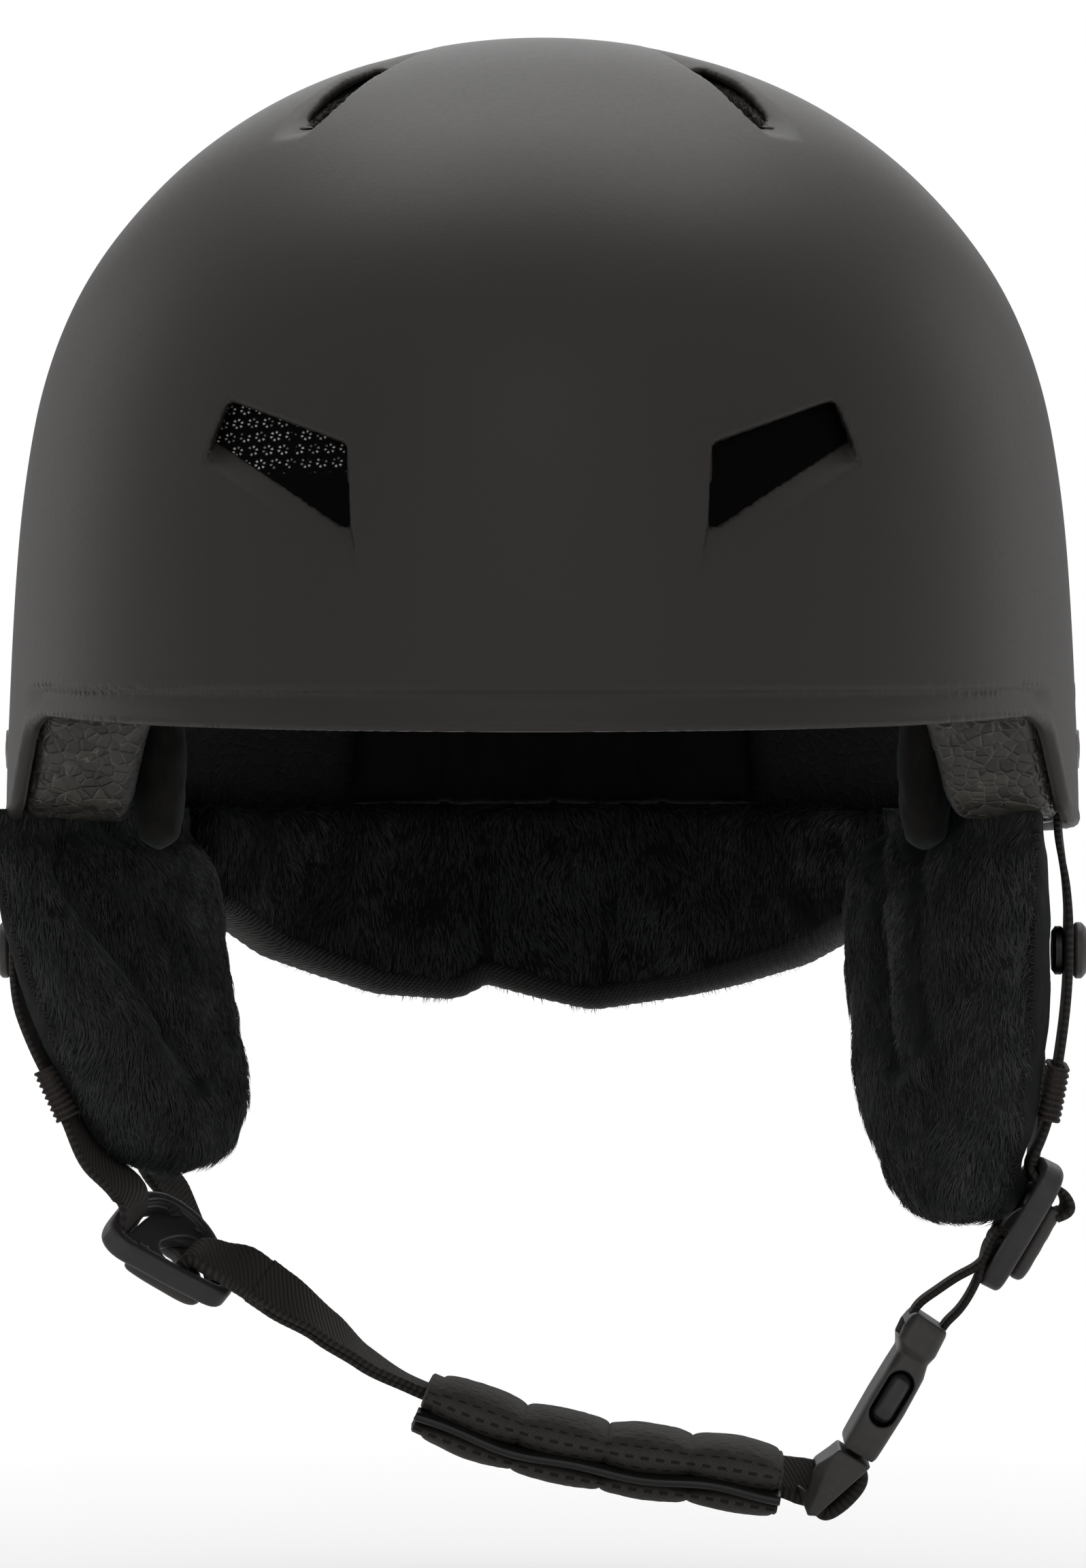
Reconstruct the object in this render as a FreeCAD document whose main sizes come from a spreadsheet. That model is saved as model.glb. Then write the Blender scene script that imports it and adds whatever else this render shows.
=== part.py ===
import FreeCAD, Part
import Sketcher
import os
import math
from FreeCAD import Vector as V

# Ski helmet: hard outer shell over an expanded-foam liner, comfort pads, plush
# ear pads and neck liner, a webbing harness with lockable strap dividers, a
# padded chin strap with a side-release buckle, and a rear goggle-strap retainer.
# Frame: +Z up, the face opening looks along -Y, the wearer's left is +X.
# Origin: the point of the crown pad that rests on the top of the head.

os.makedirs("parts", exist_ok=True)
doc = FreeCAD.newDocument("ski_helmet")
sheet = doc.addObject("Spreadsheet::Sheet", "Dims")

DIMS = [
    ("shell_half_width", 109.0), ("shell_front_depth", 134.0), ("shell_rear_depth", 140.0),
    ("crown_height", 32.0), ("shell_wall", 2.6), ("liner_gap", 0.6), ("liner_inner_offset", 24.0),
    ("pad_gap", 0.4), ("pad_thickness", 5.0), ("mesh_thickness", 0.4),
    ("brim_height", -110.0), ("ear_height", -127.0),
    ("webbing_width", 15.5), ("webbing_thickness", 1.4), ("chin_webbing_thickness", 2.6),
    ("rivet_head_radius", 4.15), ("rivet_head_height", 1.5), ("rivet_shank_radius", 1.9), ("rivet_shank_length", 6.4),
    ("washer_radius", 5.0), ("washer_thickness", 0.9), ("washer_bore_radius", 1.95),
    ("plug_head_radius", 3.6), ("plug_head_height", 1.2), ("plug_shank_radius", 2.2), ("plug_shank_length", 9.0),
    ("snap_cap_radius", 5.7), ("snap_cap_height", 3.0), ("snap_post_radius", 1.9), ("snap_post_length", 3.4),
    ("snap_ring_radius", 4.9), ("snap_ring_height", 2.4), ("snap_ring_bore", 2.0),
    ("divider_thickness", 4.6), ("lever_thickness", 3.4), ("divider_pin_radius", 1.25), ("divider_pin_length", 4.2),
    ("keeper_height", 11.0), ("keeper_outer_width", 19.4), ("keeper_outer_depth", 4.6),
    ("keeper_inner_width", 16.8), ("keeper_inner_depth", 2.4),
    ("socket_thickness", 7.4), ("socket_cavity_width", 21.4), ("socket_cavity_thickness", 4.7), ("socket_cavity_depth", 22.0),
    ("plug_width", 21.0), ("tongue_width", 1.6), ("prong_thickness", 4.1), ("buckle_slot_width", 16.8),
    ("retainer_width", 18.0), ("retainer_thickness", 2.2), ("retainer_length", 44.0), ("retainer_pin_radius", 1.2),
    ("retainer_pin_length", 25.0), ("retainer_knuckle_radius", 3.2), ("stud_radius", 3.0), ("stud_height", 5.5),
]
sheet.set("A1", "name")
sheet.set("B1", "millimetres")
for i, (name, value) in enumerate(DIMS):
    sheet.set("A%d" % (i + 2), name)
    sheet.set("B%d" % (i + 2), repr(value))
    sheet.setAlias("B%d" % (i + 2), name)
doc.recompute()


def d(name):
    return float(sheet.get(name))


SUBPARTS = []


def keep(obj):
    SUBPARTS.append(obj)
    return obj


def frame_placement(o, x, y, z):
    return FreeCAD.Placement(FreeCAD.Matrix(x.x, y.x, z.x, o.x, x.y, y.y, z.y, o.y, x.z, y.z, z.z, o.z, 0, 0, 0, 1))


def z_placement(o, direction):
    return FreeCAD.Placement(o, FreeCAD.Rotation(V(0, 0, 1), direction))


# ---------------------------------------------------------------- part design helpers
def new_body(label):
    body = doc.addObject("PartDesign::Body", label)
    body.Label = label
    return body


def new_sketch(body, role, name):
    sk = body.newObject("Sketcher::SketchObject", name)
    plane = [f for f in body.Origin.OriginFeatures if f.Role == role][0]
    sk.AttachmentSupport = (plane, "")
    sk.MapMode = "FlatFace"
    return sk


def add_poly(sk, pts):
    first = sk.GeometryCount
    n = len(pts)
    for i in range(n):
        a, b = pts[i], pts[(i + 1) % n]
        sk.addGeometry(Part.LineSegment(V(a[0], a[1], 0), V(b[0], b[1], 0)), False)
    for i in range(n):
        sk.addConstraint(Sketcher.Constraint("Coincident", first + i, 2, first + (i + 1) % n, 1))
    return first


def add_closed_spline(sk, pts):
    c = Part.BSplineCurve()
    c.interpolate([V(p[0], p[1], 0) for p in pts], PeriodicFlag=True)
    return sk.addGeometry(c, False)


def add_circle(sk, x, y, r, alias=None):
    g = sk.addGeometry(Part.Circle(V(x, y, 0), V(0, 0, 1), r), False)
    c = sk.addConstraint(Sketcher.Constraint("Radius", g, r))
    if alias:
        sk.setExpression("Constraints[%d]" % c, "Dims." + alias)
    return g


def add_rect(sk, cx, cy, w, h, w_alias=None, h_alias=None):
    f = add_poly(sk, [(cx - w / 2, cy - h / 2), (cx + w / 2, cy - h / 2), (cx + w / 2, cy + h / 2), (cx - w / 2, cy + h / 2)])
    for k, kind in ((0, "Horizontal"), (1, "Vertical"), (2, "Horizontal"), (3, "Vertical")):
        sk.addConstraint(Sketcher.Constraint(kind, f + k))
    if abs(cx) < 1e-9 and abs(cy) < 1e-9:
        sk.addConstraint(Sketcher.Constraint("Symmetric", f, 1, f + 2, 1, -1, 1))
    cw = sk.addConstraint(Sketcher.Constraint("DistanceX", f, 1, f, 2, w))
    ch = sk.addConstraint(Sketcher.Constraint("DistanceY", f + 1, 1, f + 1, 2, h))
    if w_alias:
        sk.setExpression("Constraints[%d]" % cw, "Dims." + w_alias)
    if h_alias:
        sk.setExpression("Constraints[%d]" % ch, "Dims." + h_alias)
    return f


def add_pad(body, sk, length, alias=None, mid=False):
    p = body.newObject("PartDesign::Pad", body.Label + "_pad")
    p.Profile = sk
    p.Length = length
    if mid:
        p.SideType = "Symmetric"
    if alias:
        p.setExpression("Length", "Dims." + alias)
    sk.Visibility = False
    return p


def add_pocket(body, sk, length, alias=None, mid=False, reverse=False, through=False):
    p = body.newObject("PartDesign::Pocket", body.Label + "_pocket")
    p.Profile = sk
    if through:
        p.Type = "ThroughAll"
    else:
        p.Length = length
    if mid:
        p.SideType = "Symmetric"
    p.Reversed = reverse
    if alias:
        p.setExpression("Length", "Dims." + alias)
    return p


def add_revolution(body, sk):
    r = body.newObject("PartDesign::Revolution", body.Label + "_rev")
    r.Profile = sk
    r.ReferenceAxis = (sk, ["V_Axis"])
    r.Angle = 360
    return r


# ---------------------------------------------------------------- dome surfaces
PROFILE = [(0.0, 0.0), (5.6, .14), (11.8, .56), (16.6, 1.15), (24.6, 2.5), (34.9, 5.3), (43.2, 8.1), (49.8, 10.9),
           (55.2, 13.6), (64.2, 19.2), (73.2, 26.2), (80.2, 33.1), (86.2, 40.1), (91.2, 47.1), (95.1, 54.), (98.2, 61.),
           (100.6, 68.), (102.5, 74.9), (103.8, 81.8), (104.9, 88.8), (105.8, 95.8), (107.0, 109.7), (107.8, 123.6),
           (108.4, 137.5), (108.9, 151.4), (109.0, 160.), (108.6, 172.), (107.5, 184.0)]
HALF_W = d("shell_half_width")
CROWN = d("crown_height")
PK = HALF_W / 109.0


def spline(pts):
    c = Part.BSplineCurve()
    c.interpolate(pts)
    return c


BASE = spline([V(r * PK, 0, -dd) for r, dd in PROFILE])


def offset_profile(off, n=44):
    a, b = BASE.FirstParameter, BASE.LastParameter
    out = []
    for i in range(n + 1):
        u = a + (b - a) * i / n
        p = BASE.value(u)
        t = BASE.tangent(u)[0]
        nrm = V(-t.z, 0, t.x)
        if nrm.x < 0 or (abs(nrm.x) < 1e-6 and nrm.z < 0):
            nrm = nrm * -1
        out.append(V(p.x - nrm.x * off, 0, p.z - nrm.z * off))
    out[0] = V(0, 0, -off)
    return out


DOMES = {}


def dome(off):
    # Solid of revolution, stretched front and rear so that the wall stays about even.
    if off in DOMES:
        return DOMES[off]
    c = spline(offset_profile(off))
    c.translate(V(0, 0, CROWN))
    e1 = c.toShape()
    p0, p1 = c.value(c.FirstParameter), c.value(c.LastParameter)
    face = Part.Face(Part.Wire([e1, Part.makeLine(p1, V(0, 0, p1.z)), Part.makeLine(V(0, 0, p1.z), p0)]))
    halves = []
    for sgn, depth in ((1, d("shell_front_depth")), (-1, d("shell_rear_depth"))):
        k = (depth - off) / (HALF_W - off)
        half = face.revolve(V(0, 0, 0), V(0, 0, 1), -180 * sgn)
        m = FreeCAD.Matrix()
        m.scale(V(1, k, 1))
        halves.append(half.transformGeometry(m))
    DOMES[off] = halves[0].fuse(halves[1]).Solids[0]
    return DOMES[off]


def prism(pts, axis, lo, hi):
    # Closed polygon extruded along a row axis from lo to hi.
    if axis == "x":
        vs = [V(lo, p[0], p[1]) for p in pts]
        ext = V(hi - lo, 0, 0)
    elif axis == "y":
        vs = [V(p[0], lo, p[1]) for p in pts]
        ext = V(0, hi - lo, 0)
    else:
        vs = [V(p[0], p[1], lo) for p in pts]
        ext = V(0, 0, hi - lo)
    return Part.Face(Part.makePolygon(vs + [vs[0]])).extrude(ext)


def feature(label, shape):
    f = doc.addObject("Part::Feature", label)
    f.Label = label
    if shape.ShapeType == "Compound" and len(shape.Solids) == 1:
        shape = shape.Solids[0]
    f.Shape = shape
    f.Placement = FreeCAD.Placement()
    return keep(f)


def mirror_x(pts):
    return [(-p[0], p[1]) for p in pts]


# Lower edge of the shell in side view (y, z): brim, ear drop, nape.
BR, EA = d("brim_height"), d("ear_height")


def lower_cut(grow):
    edge = [(-170, BR + grow), (-134, BR + grow), (-100, BR + 1.5 + grow), (-60 + grow * .6, BR + 3.8 + grow), (-50 + grow * .6, BR + 1.0 + grow),
            (-44 + grow, BR - 7.0 + grow), (-37 + grow, EA + 2.5 + grow), (-28 + grow, EA - 0.5 + grow), (0, EA - 1.5 + grow),
            (60, EA - 3.0 + grow), (110, EA - 3.0 + grow), (170, EA - 1.0 + grow)]
    return prism(edge + [(170, -300), (-170, -300)], "x", -150, 150)


# Vents. Front vents open through the forehead, crown vents run back over the top,
# rear vents are exhausts.
FRONT_VENT = [(56.7, -47.8), (34.7, -56.6), (33.6, -71.2), (58.5, -53.8)]
CROWN_VENT = [(45.2, -54.0), (38.9, -60.2), (27.4, -27.0), (32.5, -25.0)]
REAR_VENT = [(52.0, -22.0), (20.0, -12.0), (20.0, -22.0), (50.0, -34.0)]


def grow_poly(pts, g):
    cx = sum(p[0] for p in pts) / len(pts)
    cy = sum(p[1] for p in pts) / len(pts)
    out = []
    for p in pts:
        vx, vy = p[0] - cx, p[1] - cy
        l = math.hypot(vx, vy)
        out.append((p[0] + vx / l * g, p[1] + vy / l * g))
    return out


def vents(g):
    tools = []
    for poly, axis, lo, hi in ((FRONT_VENT, "y", -150, -60), (CROWN_VENT, "z", -25, 60), (REAR_VENT, "y", 60, 160)):
        for pts in (grow_poly(poly, g), mirror_x(grow_poly(poly, g))):
            tools.append(prism(pts, axis, lo, hi))
    return tools


def surface_point(y, z, side):
    # Point of the outer dome at a given y and z on the side, with its normal.
    dd = CROWN - z
    for i in range(len(PROFILE) - 1):
        if PROFILE[i][1] <= dd <= PROFILE[i + 1][1]:
            f = (dd - PROFILE[i][1]) / (PROFILE[i + 1][1] - PROFILE[i][1])
            r = (PROFILE[i][0] + f * (PROFILE[i + 1][0] - PROFILE[i][0])) * PK
    k = (d("shell_front_depth") if y < 0 else d("shell_rear_depth")) / HALF_W
    x = math.sqrt(max(r * r - (y / k) ** 2, 0))
    n = V(x, y / (k * k), 0)
    n.normalize()
    return V(side * x, y, z), V(side * n.x, n.y, 0)


# ---------------------------------------------------------------- fasteners placed on the shell
RIVETS = []
for side in (-1, 1):
    for y, z in ((-12.0, -112.5), (54.0, -115.5)):
        RIVETS.append(surface_point(y, z, side))
PLUGS = [surface_point(4.0, -101.5, side) for side in (-1, 1)]


def cyl(o, direction, r, a, b):
    return Part.makeCylinder(r, b - a, o + direction * a, direction)


# ---------------------------------------------------------------- webbing ribbons
WW, WT = d("webbing_width"), d("webbing_thickness")


def ribbon(points, w, t):
    # points: (centre, width direction); the ribbon's normal follows from its run.
    wires = []
    n = len(points)
    for i, (c, wd) in enumerate(points):
        a = points[max(i - 1, 0)][0]
        b = points[min(i + 1, n - 1)][0]
        tan = (b - a).normalize()
        wv = V(wd)
        wv = wv - tan * wv.dot(tan)
        wv.normalize()
        nv = tan.cross(wv)
        p = [c + wv * (w / 2) + nv * (t / 2), c - wv * (w / 2) + nv * (t / 2),
             c - wv * (w / 2) - nv * (t / 2), c + wv * (w / 2) - nv * (t / 2)]
        wires.append(Part.makePolygon(p + [p[0]]))
    return Part.makeLoft(wires, True, True)


def pt(x, y, z):
    return V(x, y, z)


def smooth(points, n):
    # Evenly spaced samples of a spline through the centres, with blended width directions.
    c = spline([p[0] for p in points])
    knots = [c.parameter(p[0]) for p in points]
    out = []
    for i in range(n + 1):
        u = c.FirstParameter + (c.LastParameter - c.FirstParameter) * i / n
        k = 0
        while k < len(points) - 2 and u > knots[k + 1]:
            k += 1
        f = min(max((u - knots[k]) / (knots[k + 1] - knots[k]), 0.0), 1.0)
        f = f * f * (3 - 2 * f)
        out.append((c.value(u), points[k][1] * (1 - f) + points[k + 1][1] * f))
    return out


YD = V(0, 1, 0)
FRONT_RIGHT = [(pt(104.3, -12, -106.5), V(.08, 1, 0)), (pt(104.3, -12.6, -117), V(.08, 1, 0)), (pt(104.4, -14, -130), V(.08, 1, 0)),
               (pt(105.9, -17, -142), V(.02, 1, 0)), (pt(106.2, -18, -149), V(0, 1, 0)), (pt(106.2, -18, -157), V(0, 1, 0)), (pt(105.4, -18, -167), V(0, 1, 0)),
               (pt(103.9, -17.5, -177), V(0, 1, 0)), (pt(101.9, -17, -187), V(0, 1, 0)), (pt(99.6, -16.7, -193.2), V(0, 1, 0)),
               (pt(97.2, -16.3, -197.5), V(-.04, 1, 0))]
FRONT_LEFT = [(pt(-104.3, -12, -106.5), V(-.08, 1, 0)), (pt(-104.3, -12.6, -117), V(-.08, 1, 0)), (pt(-104.4, -14, -130), V(-.08, 1, 0)),
              (pt(-105.9, -17, -142), V(-.02, 1, 0)), (pt(-106.2, -18, -149), V(0, 1, 0)), (pt(-106.2, -18, -157), V(0, 1, 0)), (pt(-104.0, -18.5, -167), V(.05, 1, .0)),
              (pt(-99.0, -19, -177), V(.1, 1, .05)), (pt(-94.4, -19, -187), V(.15, 1, .1)), (pt(-89.0, -18.8, -196.6), V(.2, 1, .2)),
              (pt(-82.7, -18.7, -203.4), V(.226, .93, .28))]
REAR_RIGHT = [(pt(96.3, 54, -109), V(-.32, .95, 0)), (pt(96.3, 54, -118), V(-.32, .95, 0)), (pt(97.0, 51, -131), V(-.30, .95, -.1)),
              (pt(99.0, 41, -149), V(-.25, .93, -.3)), (pt(101.0, 29, -166), V(-.15, .9, -.4)), (pt(101.6, 17, -180), V(-.1, .9, -.4)),
              (pt(100.6, 7.5, -190), V(-.1, .93, -.35)), (pt(97.5, 4.0, -196.6), V(-.09, .99, .04))]
REAR_LEFT = [(pt(-96.3, 54, -109), V(.32, .95, 0)), (pt(-96.3, 54, -118), V(.32, .95, 0)), (pt(-97.0, 51, -131), V(.30, .95, -.1)),
             (pt(-97.6, 41, -149), V(.25, .93, -.3)), (pt(-95.5, 29, -166), V(.2, .9, -.4)), (pt(-90.5, 17.5, -181), V(.2, .9, -.35)),
             (pt(-83.5, 7.5, -193.5), V(.22, .9, -.1)), (pt(-76.8, 1.6, -201.8), V(.226, .93, .28))]

# ---------------------------------------------------------------- chin strap line and buckle frame
AXIS_Y, AXIS_Z = -17.0, -216.2
CHIN = [(pt(-59.6, AXIS_Y, -218.2), V(.30, .85, .42)), (pt(-53.2, AXIS_Y, -222.6), V(.27, .88, .38)), (pt(-43.6, AXIS_Y, -229.4), V(.15, .96, .22)),
        (pt(-36.0, AXIS_Y, -235.4), V(.06, .99, .08)), (pt(-26.5, AXIS_Y, -240.8), V(0, 1, 0)), (pt(-14.0, AXIS_Y, -246.2), V(0, 1, 0)),
        (pt(0.0, AXIS_Y, -250.6), V(0, 1, 0)), (pt(17.6, AXIS_Y, -254.4), V(0, 1, 0)), (pt(36.0, AXIS_Y, -256.8), V(0, 1, 0)),
        (pt(48.0, AXIS_Y, -258.8), V(0, 1, 0))]
BX, BY, BZ = V(.857, 0, -.515), V(0, 1, 0), V(.515, 0, .857)
BO = V(63.3, AXIS_Y, -254.3)
BUCKLE = frame_placement(BO, BX, BY, BZ)


def buckle_point(x, y, z):
    return BO + BX * x + BY * y + BZ * z


# ================================================================ hard shell and foam
shell = dome(0).cut(dome(d("shell_wall")))
tools = [lower_cut(0.0)] + vents(0.0)
for p, n in RIVETS:
    tools.append(cyl(p, n, d("rivet_head_radius") + 0.3, -0.9, 6))
    tools.append(cyl(p, n, d("rivet_shank_radius") + 0.1, -6, 6))
for p, n in PLUGS:
    tools.append(cyl(p, n, d("plug_head_radius") + 0.3, -0.7, 6))
    tools.append(cyl(p, n, d("plug_shank_radius") + 0.1, -6, 6))
# Seats for the goggle-strap retainer's screw posts at the rear centre.
RET_Y = 143.6
RET_TOP_Z, RET_STUD_Z = -62.0, -100.0
for x in (-9.0, 9.0):
    tools.append(cyl(V(x, 100, RET_TOP_Z + 3.0), YD, 1.6, 0, 60))
tools.append(cyl(V(0, 100, RET_STUD_Z), YD, 1.6, 0, 60))
shell = shell.cut(tools)
feature("outer_shell", shell)

eps = dome(d("shell_wall") + d("liner_gap")).cut(dome(d("liner_inner_offset")))
tools = [lower_cut(1.2)] + vents(0.8)
for p, n in RIVETS:
    tools.append(cyl(p, n, d("washer_radius") + 6.5, -8.4, -2))
    back = 18.0 if p.y > 0 else 10.5
    tools.append(prism([(p.y - back, -138), (p.y + 9.8, -138), (p.y + 9.8, p.z + 6), (p.y - 9.8, p.z + 6)], "x",
                       *((p.x - 8.5, p.x + 6) if p.x > 0 else (p.x - 6, p.x + 8.5))))
for p, n in PLUGS:
    tools.append(cyl(p, n, d("plug_shank_radius") + 0.2, -11.5, 0))
for x in (-9.0, 9.0):
    tools.append(cyl(V(x, 100, RET_TOP_Z + 3.0), YD, 3.0, 28.6, 60))
tools.append(cyl(V(0, 100, RET_STUD_Z), YD, 3.0, 28.6, 60))
eps = eps.cut(tools)
feature("eps_liner", eps)

MESH_LO, MESH_HI = d("shell_wall") + 0.1, d("shell_wall") + 0.1 + d("mesh_thickness")
mesh_wall = dome(MESH_LO).cut(dome(MESH_HI))
for label, sgn in (("front_vent_mesh_right", -1), ("front_vent_mesh_left", 1)):
    pts = [(sgn * p[0], p[1]) for p in grow_poly(FRONT_VENT, 4.0)]
    feature(label, mesh_wall.common(prism(pts, "y", -150, -60)))

# ================================================================ comfort pads inside the foam
P0 = d("liner_inner_offset") + d("pad_gap")
P1 = P0 + d("pad_thickness")
pad_wall = dome(P0).cut(dome(P1))
feature("brow_pad", pad_wall.common(prism([(-140, BR + 2.0), (-64, BR + 4.5), (-64, BR + 30), (-140, BR + 30)], "x", -90, 90)))
feature("crown_pad", pad_wall.common(prism([(-13, -62), (13, -62), (17, 0), (13, 66), (-13, 66), (-17, 0)], "z", -25, 30)))
for label, sgn in (("side_pad_right", -1), ("side_pad_left", 1)):
    x0, x1 = sorted((sgn * 40, sgn * 100))
    feature(label, pad_wall.common(prism([(-38, -92), (52, -92), (56, -52), (20, -36), (-26, -40)], "x", x0, x1)))
feature("nape_pad", pad_wall.common(prism([(-44, -124), (44, -124), (40, -88), (-40, -88)], "y", 60, 130)))


def super_section(cx, cy, z, a, b, rot, e=2.4, n=28):
    pts = []
    for i in range(n):
        t = 2 * math.pi * i / n
        c, s = math.cos(t), math.sin(t)
        x = a * math.copysign(abs(c) ** (2 / e), c)
        y = b * math.copysign(abs(s) ** (2 / e), s)
        cr, sr = math.cos(rot), math.sin(rot)
        pts.append(V(cx + x * cr - y * sr, cy + x * sr + y * cr, z))
    cc = Part.BSplineCurve()
    cc.interpolate(pts, PeriodicFlag=True)
    return Part.Wire([cc.toShape()])


# Temple pads: upright foam tongues at each end of the brow, inside the foam wall.
for label, sgn in (("temple_pad_right", -1), ("temple_pad_left", 1)):
    secs = []
    for z, a, b in ((-133.0, 1.5, 5.0), (-130.5, 3.6, 8.5), (-122.0, 4.6, 10.0), (-112.0, 4.8, 10.0), (-104.0, 3.8, 9.5)):
        secs.append(super_section(sgn * 77.6, -13.0, z, a, b, sgn * math.radians(-5)))
    feature(label, Part.makeLoft(secs, True, False))

# ================================================================ soft goods below the shell
# z, x centre, y centre, half thickness, half length, yaw in degrees: the pads turn inwards towards the jaw.
EAR_LEFT = [(-129.4, 88.2, 8.0, 8.0, 42.0, 12.0), (-134.0, 86.2, 8.0, 11.0, 44.0, 13.0), (-146.0, 83.2, 6.0, 13.0, 43.0, 16.0),
            (-160.0, 80.8, 3.0, 13.5, 38.0, 22.0), (-174.0, 78.4, -1.0, 13.0, 33.0, 30.0), (-187.0, 78.0, -4.0, 12.0, 28.0, 36.0),
            (-198.0, 78.0, -6.0, 10.0, 21.0, 38.0), (-206.0, 79.0, -7.0, 5.0, 11.0, 38.0)]
EAR_RIGHT = [(-129.4, 88.2, 8.0, 8.0, 42.0, 12.0), (-134.0, 86.2, 8.0, 11.0, 44.0, 13.0), (-146.0, 83.2, 6.0, 13.0, 43.0, 16.0),
             (-158.0, 80.0, 3.0, 13.5, 38.0, 22.0), (-171.0, 75.6, -1.0, 13.0, 33.0, 30.0), (-183.5, 71.4, -4.0, 12.0, 25.5, 36.0),
             (-193.0, 69.8, -5.5, 9.6, 18.0, 38.0), (-199.0, 70.0, -6.0, 4.6, 8.0, 38.0)]
for label, sgn, table in (("ear_pad_left", 1, EAR_LEFT), ("ear_pad_right", -1, EAR_RIGHT)):
    secs = [super_section(sgn * cx, cy, z, a, b, sgn * math.radians(yaw)) for z, cx, cy, a, b, yaw in table]
    feature(label, Part.makeLoft(secs, True, False))


def ring_sector(ax, by, t, a0, a1, z0, z1, n=24):
    outer, inner = [], []
    for i in range(n + 1):
        a = math.radians(a0 + (a1 - a0) * i / n)
        outer.append(V(ax * math.cos(a), by * math.sin(a), z0))
        inner.append(V((ax - t) * math.cos(a), (by - t) * math.sin(a), z0))
    e1 = spline(outer).toShape()
    e2 = spline(inner).toShape()
    w = Part.Wire([e1, Part.makeLine(outer[-1], inner[-1]), e2, Part.makeLine(inner[0], outer[0])])
    return Part.Face(w).extrude(V(0, 0, z1 - z0))


neck = ring_sector(84.0, 114.0, 9.0, 33, 147, -172, -129.6)
neck = neck.cut(prism([(-95, -140), (-76, -146), (-60, -156), (-34, -165), (-12, -167.5), (12, -168.5), (34, -167), (60, -158),
                       (76, -147), (95, -140), (95, -190), (-95, -190)], "y", 0, 130))
feature("neck_liner", neck)

# ================================================================ harness webbing above the dividers
SNAPS = [V(-106.2, -18, -153), V(106.2, -18, -153)]
for label, line, sgn, rv in (("strap_front_right", FRONT_LEFT, -1, 0), ("strap_rear_right", REAR_LEFT, -1, 1),
                             ("strap_front_left", FRONT_RIGHT, 1, 2), ("strap_rear_left", REAR_RIGHT, 1, 3)):
    s = ribbon(smooth(line, 22), WW, WT)
    p, n = RIVETS[rv]
    s = s.cut(cyl(p, n, d("rivet_shank_radius") + 0.15, -20, 5))
    if "front" in label:
        c = SNAPS[0] if sgn < 0 else SNAPS[1]
        s = s.cut(cyl(c, V(sgn, 0, 0), d("snap_post_radius") + 0.15, -6, 6))
    feature(label, s)


def group(label, bodies):
    g = doc.addObject("Part::Compound", label)
    g.Label = label
    g.Links = bodies
    return keep(g)


def turned(label, profile, placement):
    body = new_body(label)
    sk = new_sketch(body, "XZ_Plane", label + "_profile")
    add_poly(sk, profile)
    add_revolution(body, sk)
    body.Placement = placement
    return body


rr, rh, rs, rl = d("rivet_head_radius"), d("rivet_head_height"), d("rivet_shank_radius"), d("rivet_shank_length")
bodies = []
for i, (p, n) in enumerate(RIVETS):
    prof = [(0, -rl), (rs, -rl), (rs, 0), (rr, 0), (rr, rh * .45), (rr * .8, rh * .85), (rr * .4, rh), (0, rh)]
    bodies.append(turned("rivet_%d" % (i + 1), prof, z_placement(p - n * 0.85, n)))
group("strap_rivets", bodies)
bodies = []
wr, wt, wb = d("washer_radius"), d("washer_thickness"), d("washer_bore_radius")
for i, (p, n) in enumerate(RIVETS):
    body = new_body("washer_%d" % (i + 1))
    sk = new_sketch(body, "XY_Plane", "washer_sketch")
    add_circle(sk, 0, 0, wr, "washer_radius")
    add_circle(sk, 0, 0, wb, "washer_bore_radius")
    add_pad(body, sk, wt, "washer_thickness")
    body.Placement = z_placement(p - n * 6.6, n)
    bodies.append(body)
group("rivet_washers", bodies)
bodies = []
pr, ph, ps, pl = d("plug_head_radius"), d("plug_head_height"), d("plug_shank_radius"), d("plug_shank_length")
for i, (p, n) in enumerate(PLUGS):
    prof = [(0, -pl), (ps * .8, -pl), (ps, -pl + 1), (ps, 0), (pr, 0), (pr, ph * .5), (pr * .85, ph), (0, ph)]
    bodies.append(turned("liner_plug_%d" % (i + 1), prof, z_placement(p - n * 0.65, n)))
group("liner_plugs", bodies)

sr, shh, sp, sl = d("snap_cap_radius"), d("snap_cap_height"), d("snap_post_radius"), d("snap_post_length")
bodies = []
for i, c in enumerate(SNAPS):
    n = V(-1 if c.x < 0 else 1, 0, 0)
    prof = [(0, -sl), (sp, -sl), (sp, 0), (sr - .6, 0), (sr, .5), (sr, shh * .55), (sr * .82, shh * .85), (sr * .45, shh), (0, shh)]
    bodies.append(turned("snap_cap_%d" % (i + 1), prof, z_placement(c + n * 0.95, n)))
group("snap_caps", bodies)
bodies = []
gr, gh, gb = d("snap_ring_radius"), d("snap_ring_height"), d("snap_ring_bore")
for i, c in enumerate(SNAPS):
    n = V(-1 if c.x < 0 else 1, 0, 0)
    prof = [(gb, 0), (gr * .8, 0), (gr, gh * .3), (gr, gh * .8), (gr * .9, gh), (gb, gh)]
    bodies.append(turned("snap_ring_%d" % (i + 1), prof, z_placement(c - n * (1.0 + gh), n)))
group("snap_sockets", bodies)

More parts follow.
